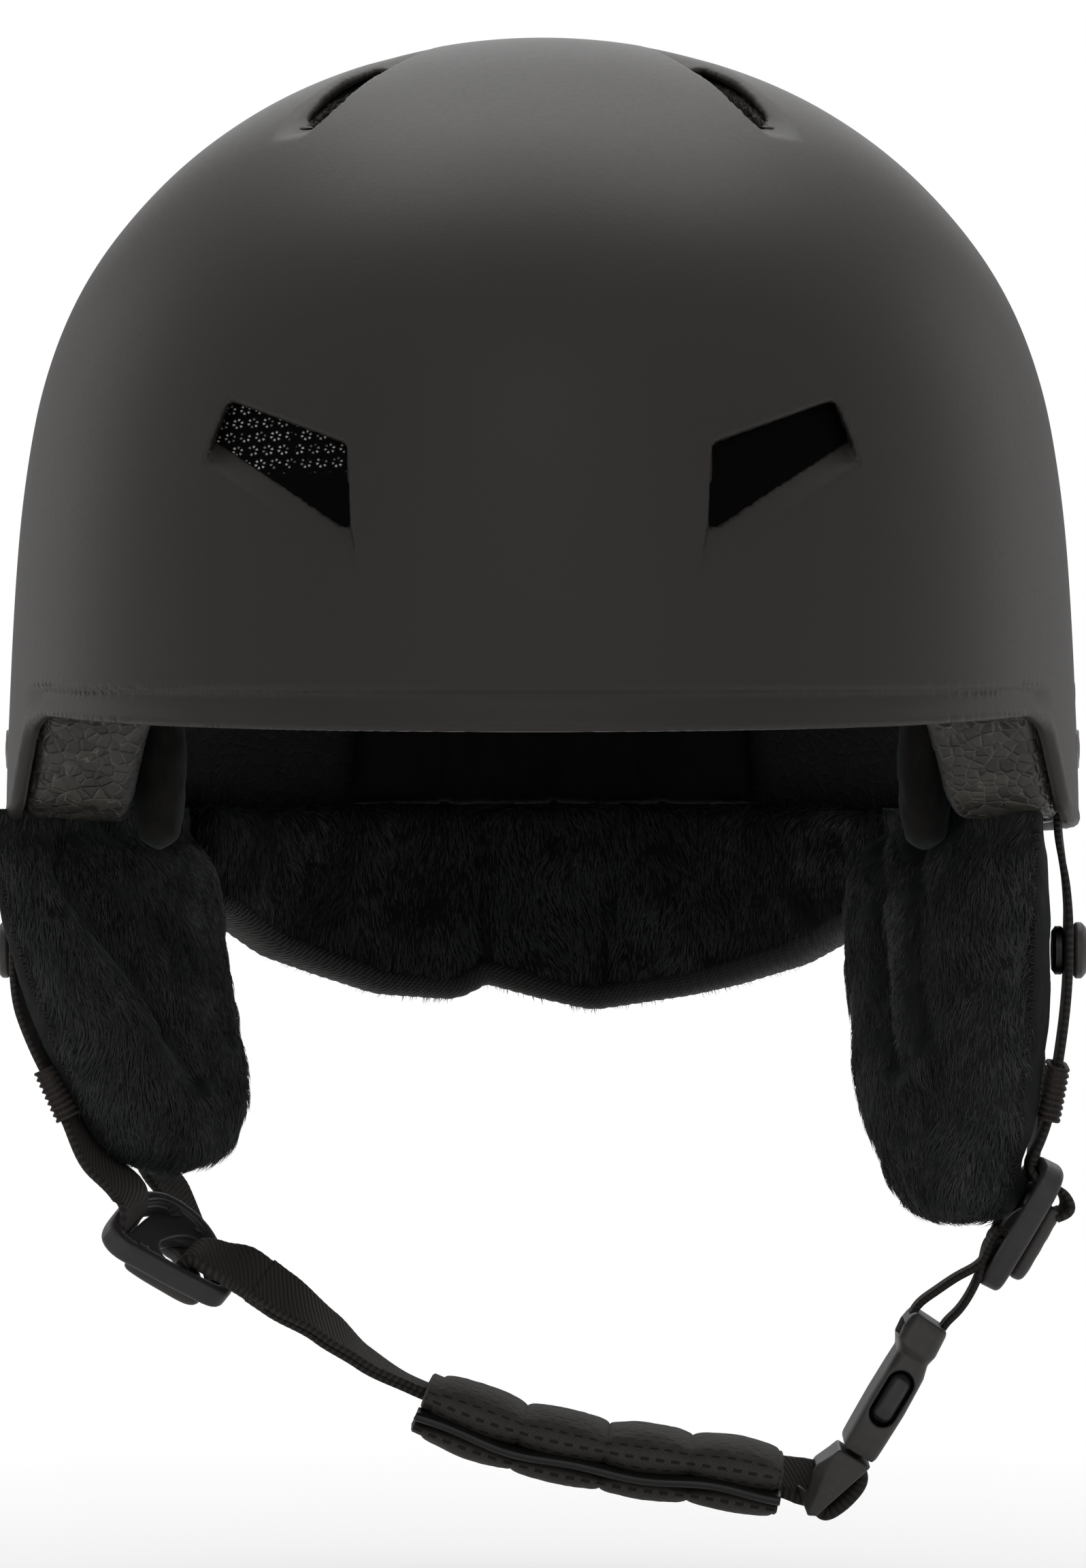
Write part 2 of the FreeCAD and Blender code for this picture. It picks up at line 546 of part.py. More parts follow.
# Elastic keepers that hold the ear pad's lower end to the front strap.
for label, line, k in (("strap_keeper_right", FRONT_LEFT, 0.74), ("strap_keeper_left", FRONT_RIGHT, 0.80)):
    pts = smooth(line, 200)
    i = int(k * 200)
    c, w = pts[i]
    tan = (pts[i + 1][0] - pts[i - 1][0]).normalize()
    w = (w - tan * w.dot(tan)).normalize()
    up = tan * -1
    body = new_body(label)
    sk = new_sketch(body, "XY_Plane", "keeper_sketch")
    add_rect(sk, 0, 0, d("keeper_outer_width"), d("keeper_outer_depth"), "keeper_outer_width", "keeper_outer_depth")
    add_rect(sk, 0, 0, d("keeper_inner_width"), d("keeper_inner_depth"), "keeper_inner_width", "keeper_inner_depth")
    add_pad(body, sk, d("keeper_height"), "keeper_height", mid=True)
    body.Placement = frame_placement(c, w, up.cross(w), up)
    keep(body)

# ================================================================ strap dividers with lock levers
OUTLINE = [(-13.5, 3.0), (-12.3, -0.6), (-9.4, -2.4), (-3.8, -1.0), (4.0, 2.0), (10.0, 4.8), (13.9, 7.7), (14.6, 10.5), (12.8, 15.0),
           (9.5, 20.0), (6.0, 24.5), (2.0, 27.4), (-3.5, 28.2), (-8.5, 26.4), (-12.2, 21.0), (-13.8, 12.0)]
SLOT_UP = [(-11.4, 3.5), (-10.0, 1.6), (-8.2, 2.6), (-7.2, 6.0), (-7.0, 12.0), (-5.6, 18.0), (-2.2, 22.6), (-2.4, 25.0), (-5.4, 25.4),
           (-9.0, 22.6), (-11.2, 17.0), (-12.0, 10.0)]
SLOT_LOW = [(-3.2, 8.0), (-2.8, 13.0), (-1.0, 18.0), (2.4, 21.4), (5.4, 20.6), (8.6, 16.0), (10.8, 11.4), (9.0, 8.0), (4.4, 5.6), (0.0, 4.8)]
LEVER = [(-9.5, 3.2), (-4.0, 2.4), (4.0, 4.6), (10.6, 8.6), (10.8, 12.4), (8.0, 17.4), (4.4, 21.6), (-1.0, 23.6), (-6.4, 22.4), (-9.8, 17.0), (-10.6, 10.0)]
LEVER_HOLE = [(-4.2, 10.2), (-1.6, 8.0), (3.4, 9.0), (6.2, 11.6), (4.4, 15.6), (0.6, 18.0), (-3.0, 16.6)]


def unit(v):
    v = V(v)
    v.normalize()
    return v


N_L = unit(V(.585, -.36, .725))
L_L = unit(V(.777, 0, -.627))
W_L = N_L.cross(L_L)
N_R = unit(V(-.89, -.1, .445))
L_R = unit(V(-.447, 0, -.894))
N_R = (N_R - L_R * N_R.dot(L_R)).normalize()
W_R = L_R.cross(N_R)
DIV = {"right": (V(-75.95, -28.0, -215.6), L_L, W_L, N_L, 1), "left": (V(95.3, -28.0, -207.3), L_R * -1, W_R, N_R, -1)}
th, lt = d("divider_thickness"), d("lever_thickness")
pins = []
for side in ("right", "left"):
    o, ux, uy, uz, m = DIV[side]
    flip = [(m * p[0], p[1]) for p in OUTLINE]
    body = new_body("strap_divider_" + side)
    sk = new_sketch(body, "XY_Plane", "divider_sketch")
    add_closed_spline(sk, flip)
    add_closed_spline(sk, [(m * p[0], p[1]) for p in SLOT_UP])
    add_closed_spline(sk, [(m * p[0], p[1]) for p in SLOT_LOW])
    add_pad(body, sk, th, "divider_thickness")
    sk2 = new_sketch(body, "XY_Plane", "pin_holes")
    add_circle(sk2, m * -5.2, 1.9, d("divider_pin_radius") + 0.05)
    add_circle(sk2, m * 9.4, 17.6, d("divider_pin_radius") + 0.05)
    pk = add_pocket(body, sk2, 20.0, through=True, mid=True)
    body.Placement = frame_placement(o - uz * th, ux, uy, uz)
    keep(body)
    for k, (px, py) in enumerate(((-5.2, 1.9), (9.4, 17.6))):
        pb = turned("divider_pin_%s_%d" % (side, k), [(0, 0), (d("divider_pin_radius"), 0), (d("divider_pin_radius"), d("divider_pin_length")),
                                                  (d("divider_pin_radius") * .7, d("divider_pin_length") + .35), (0, d("divider_pin_length") + .35)],
                    frame_placement(o - uz * (th - 0.3) + ux * (m * px) + uy * py, ux, uy, uz))
        pins.append(pb)
    lv = new_body("divider_lever_" + side)
    sk = new_sketch(lv, "XY_Plane", "lever_sketch")
    add_closed_spline(sk, [(m * p[0], p[1]) for p in LEVER])
    add_closed_spline(sk, [(m * p[0], p[1]) for p in LEVER_HOLE])
    add_pad(lv, sk, lt, "lever_thickness")
    lv.Placement = frame_placement(o - uz * (th + 0.25 + lt), ux, uy, uz)
    keep(lv)
group("divider_pins", pins)

# Short webbing loops that stay in the lower slots of the dividers.
o, ux, uy, uz, m = DIV["right"]
c0 = o + ux * 3.4 + uy * 12.6
feature("lower_loop_right", ribbon([(c0 - uz * 3.4, uy), (c0 + uz * 1.0 + ux * 0.9, uy), (c0 + uz * 2.2 + ux * 3.5, uy),
                                    (pt(-61.2, AXIS_Y, -217.2), V(.30, .85, .42))], 9.5, 2.4))
o, ux, uy, uz, m = DIV["left"]
c0 = o + ux * -3.4 + uy * 12.0
feature("lower_loop_left", ribbon([(c0 - uz * 3.4, uy), (c0 + uz * 0.8 - ux * 0.6, uy), (c0 + uz * 2.6 - ux * 3.2, uy), (pt(87.6, AXIS_Y, -216.2), YD)], 9.5, 2.0))

# ================================================================ chin strap
CT = d("chin_webbing_thickness")
chin = smooth(CHIN, 52)
ends = [i for i, (c, w) in enumerate(chin) if c.x < -57.6]
free = [i for i, (c, w) in enumerate(chin) if -57.2 < c.x < -27.0]
core = [i for i, (c, w) in enumerate(chin) if c.x > -26.6]
feature("chin_webbing_end", ribbon([chin[i] for i in ends], WW, CT))
feature("chin_webbing_free", ribbon([chin[i] for i in free], WW, CT))
feature("chin_webbing_core", ribbon([chin[i] for i in core], WW, CT))
pad_line = [(-24.0, -243.6, 3.4, 12.0), (-20.5, -245.0, 6.6, 17.5), (-8.0, -249.6, 7.2, 18.5), (8.0, -253.6, 7.3, 18.5), (24.0, -256.2, 7.3, 18.5),
            (38.0, -258.0, 7.0, 18.0), (45.5, -259.4, 6.4, 17.0), (48.4, -259.9, 3.2, 12.0)]
secs = []
for i, (x, z, a, b) in enumerate(pad_line):
    j0, j1 = max(i - 1, 0), min(i + 1, len(pad_line) - 1)
    tan = V(pad_line[j1][0] - pad_line[j0][0], 0, pad_line[j1][1] - pad_line[j0][1]).normalize()
    up = V(-tan.z, 0, tan.x)
    pts = []
    for k in range(28):
        t = 2 * math.pi * k / 28
        c, s = math.cos(t), math.sin(t)
        u = a * math.copysign(abs(c) ** (2 / 2.8), c)
        v = b * math.copysign(abs(s) ** (2 / 2.8), s)
        pts.append(V(x, AXIS_Y, z) + up * u + YD * v)
    cc = Part.BSplineCurve()
    cc.interpolate(pts, PeriodicFlag=True)
    secs.append(Part.Wire([cc.toShape()]))
pad_solid = Part.makeLoft(secs, True, False)
slot = ribbon(smooth([(p, YD) for p, w in CHIN[3:]] + [(pt(56, AXIS_Y, -260.2), YD)], 16), WW + 1.0, CT + 0.9)
feature("chin_pad", pad_solid.cut(slot))

# Side-release buckle, local frame: x thickness, y width, z from plug to socket.
socket = new_body("buckle_socket")
sk = new_sketch(socket, "YZ_Plane", "socket_outline")
add_poly(sk, [(-11.6, 0), (11.6, 0), (12.3, 5), (12.3, 21), (10.8, 26.5), (10.4, 31), (-10.4, 31), (-10.8, 26.5), (-12.3, 21), (-12.3, 5)])
add_pad(socket, sk, d("socket_thickness"), "socket_thickness", mid=True)
doc.recompute()
v0 = socket.Shape.Volume
sk = new_sketch(socket, "XY_Plane", "cavity")
add_rect(sk, 0, 0, d("socket_cavity_thickness"), d("socket_cavity_width"), "socket_cavity_thickness", "socket_cavity_width")
add_pocket(socket, sk, d("socket_cavity_depth"), "socket_cavity_depth", reverse=True)
doc.recompute()
v1 = socket.Shape.Volume
sk = new_sketch(socket, "XZ_Plane", "windows")
add_rect(sk, 0, 13.7, 5.8, 12.4)
add_pocket(socket, sk, 60, through=True, mid=True)
doc.recompute()
v2 = socket.Shape.Volume
sk = new_sketch(socket, "YZ_Plane", "webbing_slot")
add_rect(sk, 0, 26.4, d("buckle_slot_width"), 3.4, "buckle_slot_width")
add_pocket(socket, sk, 60, through=True, mid=True)
doc.recompute()
v3 = socket.Shape.Volume
print("socket volumes", round(v0), round(v1), round(v2), round(v3))
if not (v0 > v1 > v2 > v3):
    raise RuntimeError("a socket pocket cut nothing")
socket.Placement = BUCKLE
keep(socket)

plug = new_body("buckle_plug")
sk = new_sketch(plug, "XZ_Plane", "plug_side")
add_poly(sk, [(-3.5, -0.35), (-4.0, -2.3), (-7.4, -11.4), (0.6, -16.6), (3.2, -2.7), (3.5, -0.35)])
add_pad(plug, sk, d("plug_width"), "plug_width", mid=True)
sk = new_sketch(plug, "XZ_Plane", "tongue_side")
add_rect(sk, 0, 8.0, 3.2, 17.4)
add_pad(plug, sk, d("tongue_width"), "tongue_width", mid=True)
doc.recompute()
v0 = plug.Shape.Volume
sk = new_sketch(plug, "YZ_Plane", "plug_slot")
add_rect(sk, 0, -8.6, d("buckle_slot_width"), 5.2, "buckle_slot_width")
add_pocket(plug, sk, 60, through=True, mid=True)
doc.recompute()
v1 = plug.Shape.Volume
if not v0 > v1:
    raise RuntimeError("the plug's slot cut nothing")
plug.Placement = BUCKLE
keep(plug)

for label, sgn in (("buckle_prong_front", -1), ("buckle_prong_rear", 1)):
    body = new_body(label)
    sk = new_sketch(body, "YZ_Plane", "prong_side")
    prong = [(4.0, 0.3), (6.2, 0.3), (6.4, 7.4), (9.6, 8.2), (12.2, 9.4), (12.9, 11.5), (12.9, 15.5), (12.1, 18.0), (9.8, 19.3), (6.4, 20.6),
             (4.6, 20.2), (3.7, 18.6), (4.2, 14.0), (4.0, 8.0)]
    add_poly(sk, [(sgn * p[0], p[1]) for p in prong])
    add_pad(body, sk, d("prong_thickness"), "prong_thickness", mid=True)
    body.Placement = BUCKLE
    keep(body)

# Webbing between the plug's bar and the chin webbing's end, and the two strands above the socket.
feature("plug_webbing_loop", ribbon([(buckle_point(4.4, 0, -4.0), YD), (buckle_point(6.8, 0, -7.0), YD), (buckle_point(6.6, 0, -11.0), YD),
                                     (buckle_point(3.6, 0, -14.0), YD)], 13.6, 1.2))
feature("socket_strand_inner", ribbon([(pt(85.6, AXIS_Y, -217.6), YD), (pt(82.2, AXIS_Y, -220.0), YD), (pt(76.5, AXIS_Y, -223.9), YD),
                                       (buckle_point(-5.0, 0, 30.0), YD), (buckle_point(-4.8, 0, 27.0), YD), (buckle_point(-4.6, 0, 24.5), YD)], 13.6, 1.3))
feature("socket_strand_outer", ribbon([(pt(86.2, AXIS_Y, -221.2), YD), (pt(84.2, AXIS_Y, -224.6), YD), (buckle_point(5.0, 0, 30.2), YD),
                                       (buckle_point(4.6, 0, 27.0), YD)], 13.6, 1.3))

# ================================================================ goggle-strap retainer
rp = d("retainer_pin_radius")
# The base plate is curved to the shell by cutting it with the dome; lugs carry the pin.
raw = Part.makeBox(28, 14, 13, V(-14, 134, RET_TOP_Z - 4))
raw = raw.cut(dome(-0.25))
raw = raw.cut(Part.makeBox(19.0, 14, 20, V(-9.5, 140.6, RET_TOP_Z - 8)))
lug_axis_y, lug_axis_z = 144.4, RET_TOP_Z
raw = raw.cut(Part.makeBox(40, 20, 20, V(-20, lug_axis_y + 3.0, RET_TOP_Z - 10)))
raw = raw.cut(Part.makeCylinder(rp + 0.05, 40, V(-20, lug_axis_y, lug_axis_z), V(1, 0, 0)))
posts = [Part.makeCylinder(1.45, 9.0, V(x, 129.6, RET_TOP_Z + 3.0), YD) for x in (-9.0, 9.0)]
raw = raw.fuse(posts).removeSplitter()
feature("goggle_retainer_base", raw)

pin = turned("goggle_retainer_pin", [(0, 0), (rp, 0), (rp, d("retainer_pin_length")), (0, d("retainer_pin_length"))],
             z_placement(V(-d("retainer_pin_length") / 2, lug_axis_y, lug_axis_z), V(1, 0, 0)))
keep(pin)

strap = new_body("goggle_retainer_strap")
sk = new_sketch(strap, "YZ_Plane", "strap_side")
kr = d("retainer_knuckle_radius")
tk = d("retainer_thickness")
ln = d("retainer_length")
add_poly(sk, [(-kr * .7, kr * .7), (0, kr), (kr * .7, kr * .7), (kr, 0), (3.6, -4), (4.2, -10), (4.2, -ln + 4), (3.4, -ln), (3.4 - tk, -ln + .4),
              (4.2 - tk, -ln + 5), (4.2 - tk, -10), (1.6, -5.0), (-.6, -kr), (-kr * .7, -kr * .7), (-kr, 0)])
add_pad(strap, sk, d("retainer_width"), "retainer_width", mid=True)
doc.recompute()
v0 = strap.Shape.Volume
sk = new_sketch(strap, "YZ_Plane", "pin_bore")
add_circle(sk, 0, 0, rp + 0.06)
add_pocket(strap, sk, 60, through=True, mid=True)
doc.recompute()
if not strap.Shape.Volume < v0:
    raise RuntimeError("the retainer's bore cut nothing")
strap.Placement = FreeCAD.Placement(V(0, lug_axis_y, lug_axis_z), FreeCAD.Rotation())
keep(strap)

# Stud on the shell and its cap on the strap.
stud_y0 = 139.1
prof = [(0, -9.5), (1.45, -9.5), (1.45, 0), (d("stud_radius") + 1.6, 0.0), (d("stud_radius") + 1.6, 0.8), (1.9, 1.4), (1.9, 2.6),
        (d("stud_radius") * .8, d("stud_height")), (d("stud_radius") * .5, d("stud_height") + 1.0), (0, d("stud_height") + 1.0)]
stud = turned("goggle_retainer_stud", prof, z_placement(V(0, stud_y0 + 0.5, RET_STUD_Z), V(0, 1, 0)))
keep(stud)
capy = lug_axis_y + 4.2
prof = [(0, 0.05), (5.2, 0.05), (5.6, .6), (5.6, 1.4), (4.4, 2.3), (2.0, 2.8), (0, 2.8)]
cap = turned("goggle_retainer_cap", prof, z_placement(V(0, capy, RET_STUD_Z), V(0, 1, 0)))
keep(cap)

# ================================================================ checks and export
doc.recompute()
for o in doc.Objects:
    if "Invalid" in o.State or "Error" in o.State:
        raise RuntimeError("failed object %s %s" % (o.Name, o.State))
for o in SUBPARTS:
    s = o.Shape
    if s.isNull() or not s.isValid():
        raise RuntimeError("bad shape %s" % o.Label)
for o in SUBPARTS:
    o.Shape.exportStep(os.path.join("parts", o.Label + ".step"))
    print("%-26s solids %d vol %.1f box %s" % (o.Label, len(o.Shape.Solids), o.Shape.Volume,
          " ".join("%.1f" % v for v in (o.Shape.BoundBox.XMin, o.Shape.BoundBox.XMax, o.Shape.BoundBox.YMin, o.Shape.BoundBox.YMax, o.Shape.BoundBox.ZMin, o.Shape.BoundBox.ZMax))))
print(len(SUBPARTS), "sub-parts")
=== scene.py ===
import bpy
import math
import numpy as np
import openvdb
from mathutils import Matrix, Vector


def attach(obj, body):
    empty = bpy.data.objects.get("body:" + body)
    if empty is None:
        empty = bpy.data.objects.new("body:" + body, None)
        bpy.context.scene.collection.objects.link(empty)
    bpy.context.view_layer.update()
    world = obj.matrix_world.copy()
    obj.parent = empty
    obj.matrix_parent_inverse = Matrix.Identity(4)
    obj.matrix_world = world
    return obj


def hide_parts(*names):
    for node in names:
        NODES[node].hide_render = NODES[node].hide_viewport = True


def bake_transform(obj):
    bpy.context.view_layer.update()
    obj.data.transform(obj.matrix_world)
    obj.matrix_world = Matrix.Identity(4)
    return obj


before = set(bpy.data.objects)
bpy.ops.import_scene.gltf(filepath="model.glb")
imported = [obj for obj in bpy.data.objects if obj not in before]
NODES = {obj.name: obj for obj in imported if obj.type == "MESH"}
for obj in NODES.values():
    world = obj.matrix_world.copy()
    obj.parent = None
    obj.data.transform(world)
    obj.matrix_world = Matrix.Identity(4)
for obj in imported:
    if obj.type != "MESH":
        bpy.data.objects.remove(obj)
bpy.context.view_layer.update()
MM = 0.001

# ------------------------------------------------------------------ mesh helpers (all in millimetres)


def unit(v):
    v = np.asarray(v, float)
    return v / np.linalg.norm(v)


def make_mesh(name, verts, quads=None, tris=None, uv_q=None, uv_t=None, attrs=None, closed=True):
    """Mesh object from millimetre vertices and quad and triangle index arrays."""
    v = np.asarray(verts, np.float64)
    quads = np.zeros((0, 4), np.int32) if quads is None else np.asarray(quads, np.int32).reshape(-1, 4)
    tris = np.zeros((0, 3), np.int32) if tris is None else np.asarray(tris, np.int32).reshape(-1, 3)
    if closed:
        t = np.concatenate([quads[:, [0, 1, 2]], quads[:, [0, 2, 3]], tris])
        c = v - v.mean(0)
        vol = np.einsum("ij,ij->i", c[t[:, 0]], np.cross(c[t[:, 1]], c[t[:, 2]])).sum()
        if vol < 0:
            quads, tris = quads[:, ::-1], tris[:, ::-1]
            uv_q = None if uv_q is None else uv_q[:, ::-1]
            uv_t = None if uv_t is None else uv_t[:, ::-1]
    me = bpy.data.meshes.new(name)
    me.vertices.add(len(v))
    me.vertices.foreach_set("co", (v * MM).astype(np.float32).ravel())
    loops = np.concatenate([quads.ravel(), tris.ravel()]).astype(np.int32)
    me.loops.add(len(loops))
    me.loops.foreach_set("vertex_index", loops)
    starts = np.concatenate([np.arange(len(quads)) * 4, len(quads) * 4 + np.arange(len(tris)) * 3]).astype(np.int32)
    me.polygons.add(len(starts))
    me.polygons.foreach_set("loop_start", starts)
    me.polygons.foreach_set("use_smooth", np.ones(len(starts), bool))
    me.update(calc_edges=True)
    if uv_q is not None:
        uv = np.concatenate([np.asarray(uv_q, np.float32).reshape(-1, 2)] +
                            ([np.asarray(uv_t, np.float32).reshape(-1, 2)] if uv_t is not None else
                             [np.zeros((len(tris) * 3, 2), np.float32)]))
        layer = me.uv_layers.new(name="UVMap")
        layer.data.foreach_set("uv", uv.ravel())
    for key, val in (attrs or {}).items():
        a = me.attributes.new(key, "FLOAT", "POINT")
        a.data.foreach_set("value", np.asarray(val, np.float32))
    me.validate()
    ob = bpy.data.objects.new(name, me)
    bpy.context.scene.collection.objects.link(ob)
    return ob


def grid_piece(name, P, u, v, wrap=True, caps=True, attrs=None):
    """Surface through a grid of points. u runs along the first index and v round the second, in mm."""
    n, m = P.shape[:2]
    idx = np.arange(n * m).reshape(n, m)
    I, J = np.meshgrid(np.arange(n - 1), np.arange(m if wrap else m - 1), indexing="ij")
    J1 = (J + 1) % m
    quads = np.stack([idx[I, J], idx[I, J1], idx[I + 1, J1], idx[I + 1, J]], -1).reshape(-1, 4)
    u, v = np.asarray(u, float), np.asarray(v, float)
    uvq = np.stack([np.stack([u[I], v[J]], -1), np.stack([u[I], v[J + 1]], -1),
                    np.stack([u[I + 1], v[J + 1]], -1), np.stack([u[I + 1], v[J]], -1)], 2).reshape(-1, 4, 2)
    verts = P.reshape(-1, 3)
    tris, uvt = None, None
    if caps and wrap:
        c0, c1 = P[0].mean(0), P[-1].mean(0)
        verts = np.concatenate([verts, [c0, c1]])
        j = np.arange(m)
        j1 = (j + 1) % m
        a = np.stack([np.full(m, n * m), idx[0, j1], idx[0, j]], -1)
        b = np.stack([np.full(m, n * m + 1), idx[-1, j], idx[-1, j1]], -1)
        tris = np.concatenate([a, b])
        uvt = np.zeros((len(tris), 3, 2))
        uvt[:m, :, 0] = u[0]
        uvt[m:, :, 0] = u[-1]
        if attrs:
            attrs = {k: np.concatenate([np.asarray(x).ravel(), [np.mean(x[0]), np.mean(x[-1])]]) for k, x in attrs.items()}
    return make_mesh(name, verts, quads, tris, uvq, uvt, attrs, closed=wrap)


def cubic(pts, n, closed=False):
    """Points evenly spread in parameter along a natural (or periodic) cubic through pts; also the knots."""
    p = np.asarray(pts, float)
    if closed:
        k = len(p)
        ext = np.concatenate([p[-4:], p, p[:5]])
        c, knots = cubic(ext, n * 6)[:2]
        t = np.linspace(knots[4], knots[4 + k], n, endpoint=False)
        tt = np.linspace(knots[0], knots[-1], len(c))
        return np.stack([np.interp(t, tt, c[:, i]) for i in range(p.shape[1])], 1), knots
    t = np.concatenate([[0], np.cumsum(np.linalg.norm(np.diff(p, axis=0), axis=1))])
    h = np.diff(t)
    k = len(p)
    A = np.eye(k)
    B = np.zeros((k, p.shape[1]))
    for i in range(1, k - 1):
        A[i, i - 1], A[i, i], A[i, i + 1] = h[i - 1], 2 * (h[i - 1] + h[i]), h[i]
        B[i] = 6 * ((p[i + 1] - p[i]) / h[i] - (p[i] - p[i - 1]) / h[i - 1])
    S = np.linalg.solve(A, B)
    u = np.linspace(t[0], t[-1], n)
    j = np.clip(np.searchsorted(t, u, side="right") - 1, 0, k - 2)
    hj = h[j][:, None]
    a, b = (t[j + 1] - u)[:, None], (u - t[j])[:, None]
    out = (S[j] * a ** 3 + S[j + 1] * b ** 3) / (6 * hj) + (p[j] / hj - S[j] * hj / 6) * a + (p[j + 1] / hj - S[j + 1] * hj / 6) * b
    return out, t


def smoothstep(x, a=0.0, b=1.0):
    t = np.clip((x - a) / (b - a), 0, 1)
    return t * t * (3 - 2 * t)


def vnoise(p, scale, seed=0):
    """Smooth value noise, -1 to 1, at points in mm, with cells of the given size."""
    q = np.asarray(p, float) / scale
    i = np.floor(q).astype(np.int64)
    f = q - i
    f = f * f * (3 - 2 * f)

    def hsh(a, b, c):
        h = (a * 374761393 + b * 668265263 + c * 2147483647 + seed * 1274126177) & 0xFFFFFFFF
        h = ((h ^ (h >> 13)) * 1274126177) & 0xFFFFFFFF
        return ((h ^ (h >> 16)) & 0xFFFF) / 32767.5 - 1
    out = 0
    for dx in (0, 1):
        for dy in (0, 1):
            for dz in (0, 1):
                w = (f[:, 0] if dx else 1 - f[:, 0]) * (f[:, 1] if dy else 1 - f[:, 1]) * (f[:, 2] if dz else 1 - f[:, 2])
                out = out + w * hsh(i[:, 0] + dx, i[:, 1] + dy, i[:, 2] + dz)
    return out


def poly_sdf(x, y, pts):
    x, y = np.broadcast_arrays(np.asarray(x, float), np.asarray(y, float))
    pts = np.asarray(pts, float)
    d = np.full(x.shape, 1e18)
    inside = np.zeros(x.shape, bool)
    for i in range(len(pts)):
        ax, ay = pts[i]
        bx, by = pts[(i + 1) % len(pts)]
        ex, ey = bx - ax, by - ay
        if ex * ex + ey * ey < 1e-12:
            continue
        t = np.clip(((x - ax) * ex + (y - ay) * ey) / (ex * ex + ey * ey), 0, 1)
        dx, dy = x - ax - t * ex, y - ay - t * ey
        d = np.minimum(d, dx * dx + dy * dy)
        if abs(ey) > 1e-12:
            inside ^= ((ay > y) != (by > y)) & (x < ex * (y - ay) / ey + ax)
    return np.where(inside, -1.0, 1.0) * np.sqrt(d)


def inset(pts, g):
    """Rough inset of a convex-ish polygon towards its middle."""
    p = np.asarray(pts, float)
    c = p.mean(0)
    v = p - c
    return c + v * (1 - g / np.linalg.norm(v, axis=1))[:, None]


def rmax(a, b, r):
    h = np.maximum(r - np.abs(a - b), 0) / r
    return np.maximum(a, b) + h * h * r * 0.25


def rmin(a, b, r):
    return -rmax(-a, -b, r)


def slab(d2, w, half, r):
    """Extruded 2-D shape: d2 its plane distance, w the height from its middle, with edges rounded by r."""
    qx, qy = d2 + r, np.abs(w) - half + r
    return np.minimum(np.maximum(qx, qy), 0) + np.sqrt(np.maximum(qx, 0) ** 2 + np.maximum(qy, 0) ** 2) - r


def sdf_piece(name, f, lo, hi, h, place=None, attrs=None, bump=None):
    """Closed mesh of f < 0 in a box, its vertices then moved onto f = 0."""
    lo, hi = np.array(lo, float), np.array(hi, float)
    n = np.ceil((hi - lo) / h).astype(int) + 1
    ax = [lo[i] + h * np.arange(n[i]) for i in range(3)]
    F = np.empty(tuple(n), np.float32)
    for i0 in range(0, n[0], 32):
        x = ax[0][i0:i0 + 32][:, None, None]
        F[i0:i0 + 32] = f(x, ax[1][None, :, None], ax[2][None, None, :])
    for sl in (np.s_[0], np.s_[-1], np.s_[:, 0], np.s_[:, -1], np.s_[:, :, 0], np.s_[:, :, -1]):
        F[sl] = np.maximum(F[sl], h)
    np.clip(F, -3 * h, 3 * h, out=F)
    g = openvdb.FloatGrid()
    g.background = float(3 * h)
    g.copyFromArray(F)
    p, q = g.convertToQuads(isovalue=0.0)
    p = np.asarray(p, float) * h + lo
    q = np.asarray(q, np.int64)
    e = 0.03
    for _ in range(3):
        x, y, z = p.T
        d = f(x, y, z)
        gr = np.stack([f(x + e, y, z) - f(x - e, y, z), f(x, y + e, z) - f(x, y - e, z), f(x, y, z + e) - f(x, y, z - e)], 1) / (2 * e)
        s = (d / np.maximum((gr ** 2).sum(1), 0.3))[:, None] * gr
        ln = np.linalg.norm(s, axis=1, keepdims=True)
        p = p - s * np.minimum(1, 0.45 * h / np.maximum(ln, 1e-9))
    if bump is not None:
        nr = gr / np.maximum(np.linalg.norm(gr, axis=1, keepdims=True), 1e-6)
        p = p + nr * bump(p)[:, None]
    at = {k: fn(p) for k, fn in (attrs or {}).items()}
    if place is not None:
        o, X, Y, Z = (np.asarray(a, float) for a in place)
        p = o + p[:, :1] * X + p[:, 1:2] * Y + p[:, 2:3] * Z
    return make_mesh(name, p, q, attrs=at)


def lathe(name, profile, origin, axis, segs=56, close_smooth=True):
    pr = np.asarray(profile, float)
    if close_smooth:
        pr = cubic_lin(pr)
    w = unit(axis)
    a = unit(np.cross(w, [0, 0, 1] if abs(w[2]) < 0.9 else [1, 0, 0]))
    b = np.cross(w, a)
    t = np.linspace(0, 2 * np.pi, segs, endpoint=False)
    ring = np.cos(t)[:, None] * a + np.sin(t)[:, None] * b
    P = np.asarray(origin, float) + pr[:, None, 1:2] * w + np.maximum(pr[:, None, :1], 0.01) * ring[None]
    u = np.concatenate([[0], np.cumsum(np.linalg.norm(np.diff(pr, axis=0), axis=1))])
    return grid_piece(name, P, u, np.linspace(0, 2 * np.pi * pr[:, 0].max(), segs + 1))


def cubic_lin(pr, r=0.28):
    """Profile with each corner cut by a small round."""
    out = [pr[0]]
    for i in range(1, len(pr) - 1):
        a, b, c = pr[i - 1], pr[i], pr[i + 1]
        ra, rc = min(r, np.linalg.norm(b - a) * .4), min(r, np.linalg.norm(c - b) * .4)
        p0, p1 = b + (a - b) / max(np.linalg.norm(b - a), 1e-9) * ra, b + (c - b) / max(np.linalg.norm(c - b), 1e-9) * rc
        for s in np.linspace(0, 1, 5):
            out.append((1 - s) ** 2 * p0 + 2 * s * (1 - s) * b + s * s * p1)
    out.append(pr[-1])
    return np.array(out)


